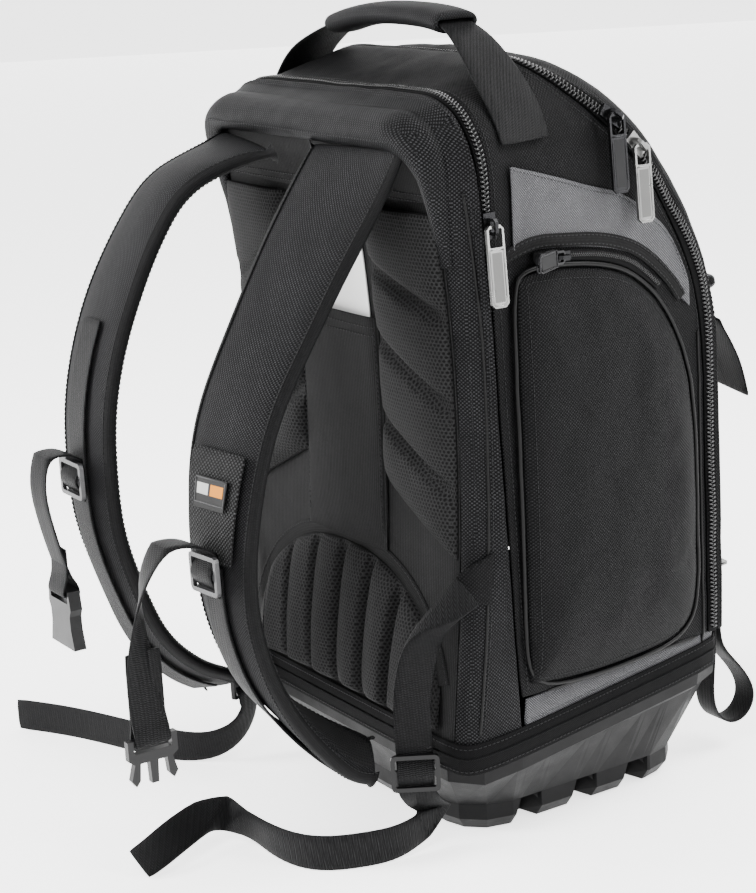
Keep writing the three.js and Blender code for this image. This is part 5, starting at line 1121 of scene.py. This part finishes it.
# Zip pulls: a raised rim and a sunk panel on both faces
def pull_detail(node, body, rim_finish, panel_finish, slot):
    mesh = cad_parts[node].data
    points = [v.co * 1000 for v in mesh.vertices]
    middle = sum(points, Vector()) / len(points)
    normal = max(mesh.polygons, key=lambda p: p.area).normal.normalized()
    reach = [(p - middle).dot(normal) for p in points]
    thick = (max(reach) - min(reach)) / 2
    down = Vector((0, 0, -1)) - normal * normal.dot(Vector((0, 0, -1)))
    if "pocket" in node:
        long_way = max((p - q for p in points for q in points), key=lambda d: d.length)
        down = long_way - normal * long_way.dot(normal)
        down = down if down.y < 0 else -down
    down.normalize()
    across = down.cross(normal).normalized()
    low = max((p - middle).dot(down) for p in points)
    top = min((p - middle).dot(down) for p in points)
    half = max(abs((p - middle).dot(across)) for p in points)
    low, top, half = low - 1.5, top + (15.5 if low - top > 40 else 10), half - 1.5
    for face in (1, -1):
        level = normal * face * (thick + 0.02)
        cut = 1.6
        corners = [(-half, top), (half, top), (half, low - cut), (half - cut, low), (-half + cut, low),
                   (-half, low - cut)]
        line = []
        for i, (a, t) in enumerate(corners):
            b, s = corners[(i + 1) % len(corners)]
            line += [middle + level + across * lerp(a, b, k / 4) + down * lerp(t, s, k / 4) for k in range(4)]
        rim = cord_on(f"{node}_rim_{face + 1}", line + line[:2], [normal * face] * (len(line) + 2), 0.55,
                      M[rim_finish], slot=slot, sides=6)
        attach(rim, body)
        inner = [(-half + 1.4, top + 1.6), (half - 1.4, top + 1.6), (half - 1.4, low - 2.2), (-half + 1.4, low - 2.2)]
        verts = [middle + level + normal * face * 0.12 + across * a + down * t for a, t in inner]
        make(f"{node}_panel_{face + 1}", verts, [(0, 1, 2, 3)], M[panel_finish], smooth=False, body=body, slot=slot)


for name, rim_finish, panel_finish, slot in (
        ("rear_pull", "metal", "panel_metal", "metal"), ("front_pull_light", "metal", "panel_metal", "metal"),
        ("front_pull_dark", "gunmetal", "panel_dark", "rubber"), ("pocket_pull_", "gunmetal", "panel_dark", "rubber")):
    for node in nodes_of(name):
        pull_detail(node, node + "_body", rim_finish, panel_finish, slot)


# Floor, light and camera
def light(name, size, place, target, power):
    data = bpy.data.lights.new(name, "AREA")
    data.shape = "RECTANGLE"
    data.size, data.size_y = size
    data.energy = power
    obj = bpy.data.objects.new(name, data)
    bpy.context.scene.collection.objects.link(obj)
    obj.location = place
    obj.rotation_euler = (Vector(target) - Vector(place)).to_track_quat("-Z", "Y").to_euler()


def plane(name, corners, place, turn, grey, rough, shine, glow):
    """A white rectangle that gives off its own light, as floor or backdrop."""
    mesh = bpy.data.meshes.new(name)
    mesh.from_pydata(corners, [], [(0, 1, 2, 3)])
    obj = bpy.data.objects.new(name, mesh)
    bpy.context.scene.collection.objects.link(obj)
    obj.location = place
    obj.rotation_euler = turn
    finish = Shader(name + "_white", (grey, grey, grey), rough, shine=shine)
    finish.out.inputs["Emission Color"].default_value = (1, 1, 1, 1)
    finish.out.inputs["Emission Strength"].default_value = glow
    mesh.materials.append(finish.mat)


# The photograph's camera: degrees, millimetres of lens, metres to the aim
AZIMUTH, ELEVATION, TILT = math.radians(57.86), math.radians(14.84), math.radians(-3.21)
LENS, DISTANCE = 88.37, 1.56
AIM = Vector((-0.0144, -0.07195, 0.25))

plane("floor", [(-9, -9, 0), (9, -9, 0), (9, 9, 0), (-9, 9, 0)], (0, 0, -0.0002), (0, 0, 0), 0.92, 0.5, 0.2, 1.9)
plane("backdrop", [(-14, -4, -1), (14, -4, -1), (14, 4, -1), (-14, 4, -1)], (-5.0, 3.2, 2.5),
      (math.radians(90), 0, AZIMUTH), 0.2, 0.8, 0.0, 2.9)

world = bpy.data.worlds.new("studio")
world.use_nodes = True
world.node_tree.nodes["Background"].inputs["Color"].default_value = (1, 1, 1, 1)
world.node_tree.nodes["Background"].inputs["Strength"].default_value = 1.1
bpy.context.scene.world = world

light("key", (1.2, 1.2), (0.7, -1.3, 1.9), (0, -0.05, 0.35), 55)
light("left_strip", (0.8, 1.4), (-1.1, -1.9, 1.0), (0, -0.1, 0.3), 110)
light("top_back", (1.2, 0.6), (0.6, 1.1, 1.7), (0, 0, 0.4), 50)
light("right_strip", (0.4, 1.2), (1.9, 1.0, 0.9), (0.1, 0, 0.3), 42)

level = math.cos(ELEVATION)
back = Vector((math.sin(AZIMUTH) * level, -math.cos(AZIMUTH) * level, math.sin(ELEVATION)))
right = Vector((math.cos(AZIMUTH), math.sin(AZIMUTH), 0))
over = back.cross(right)
side = right * math.cos(TILT) + over * math.sin(TILT)
upward = over * math.cos(TILT) - right * math.sin(TILT)
camera = bpy.data.cameras.new("camera")
camera.sensor_width = 36
camera.lens = LENS
view = bpy.data.objects.new("camera", camera)
bpy.context.scene.collection.objects.link(view)
axes = Matrix((side, upward, back)).transposed().to_4x4()
view.matrix_world = Matrix.Translation(AIM + back * DISTANCE) @ axes
bpy.context.scene.camera = view
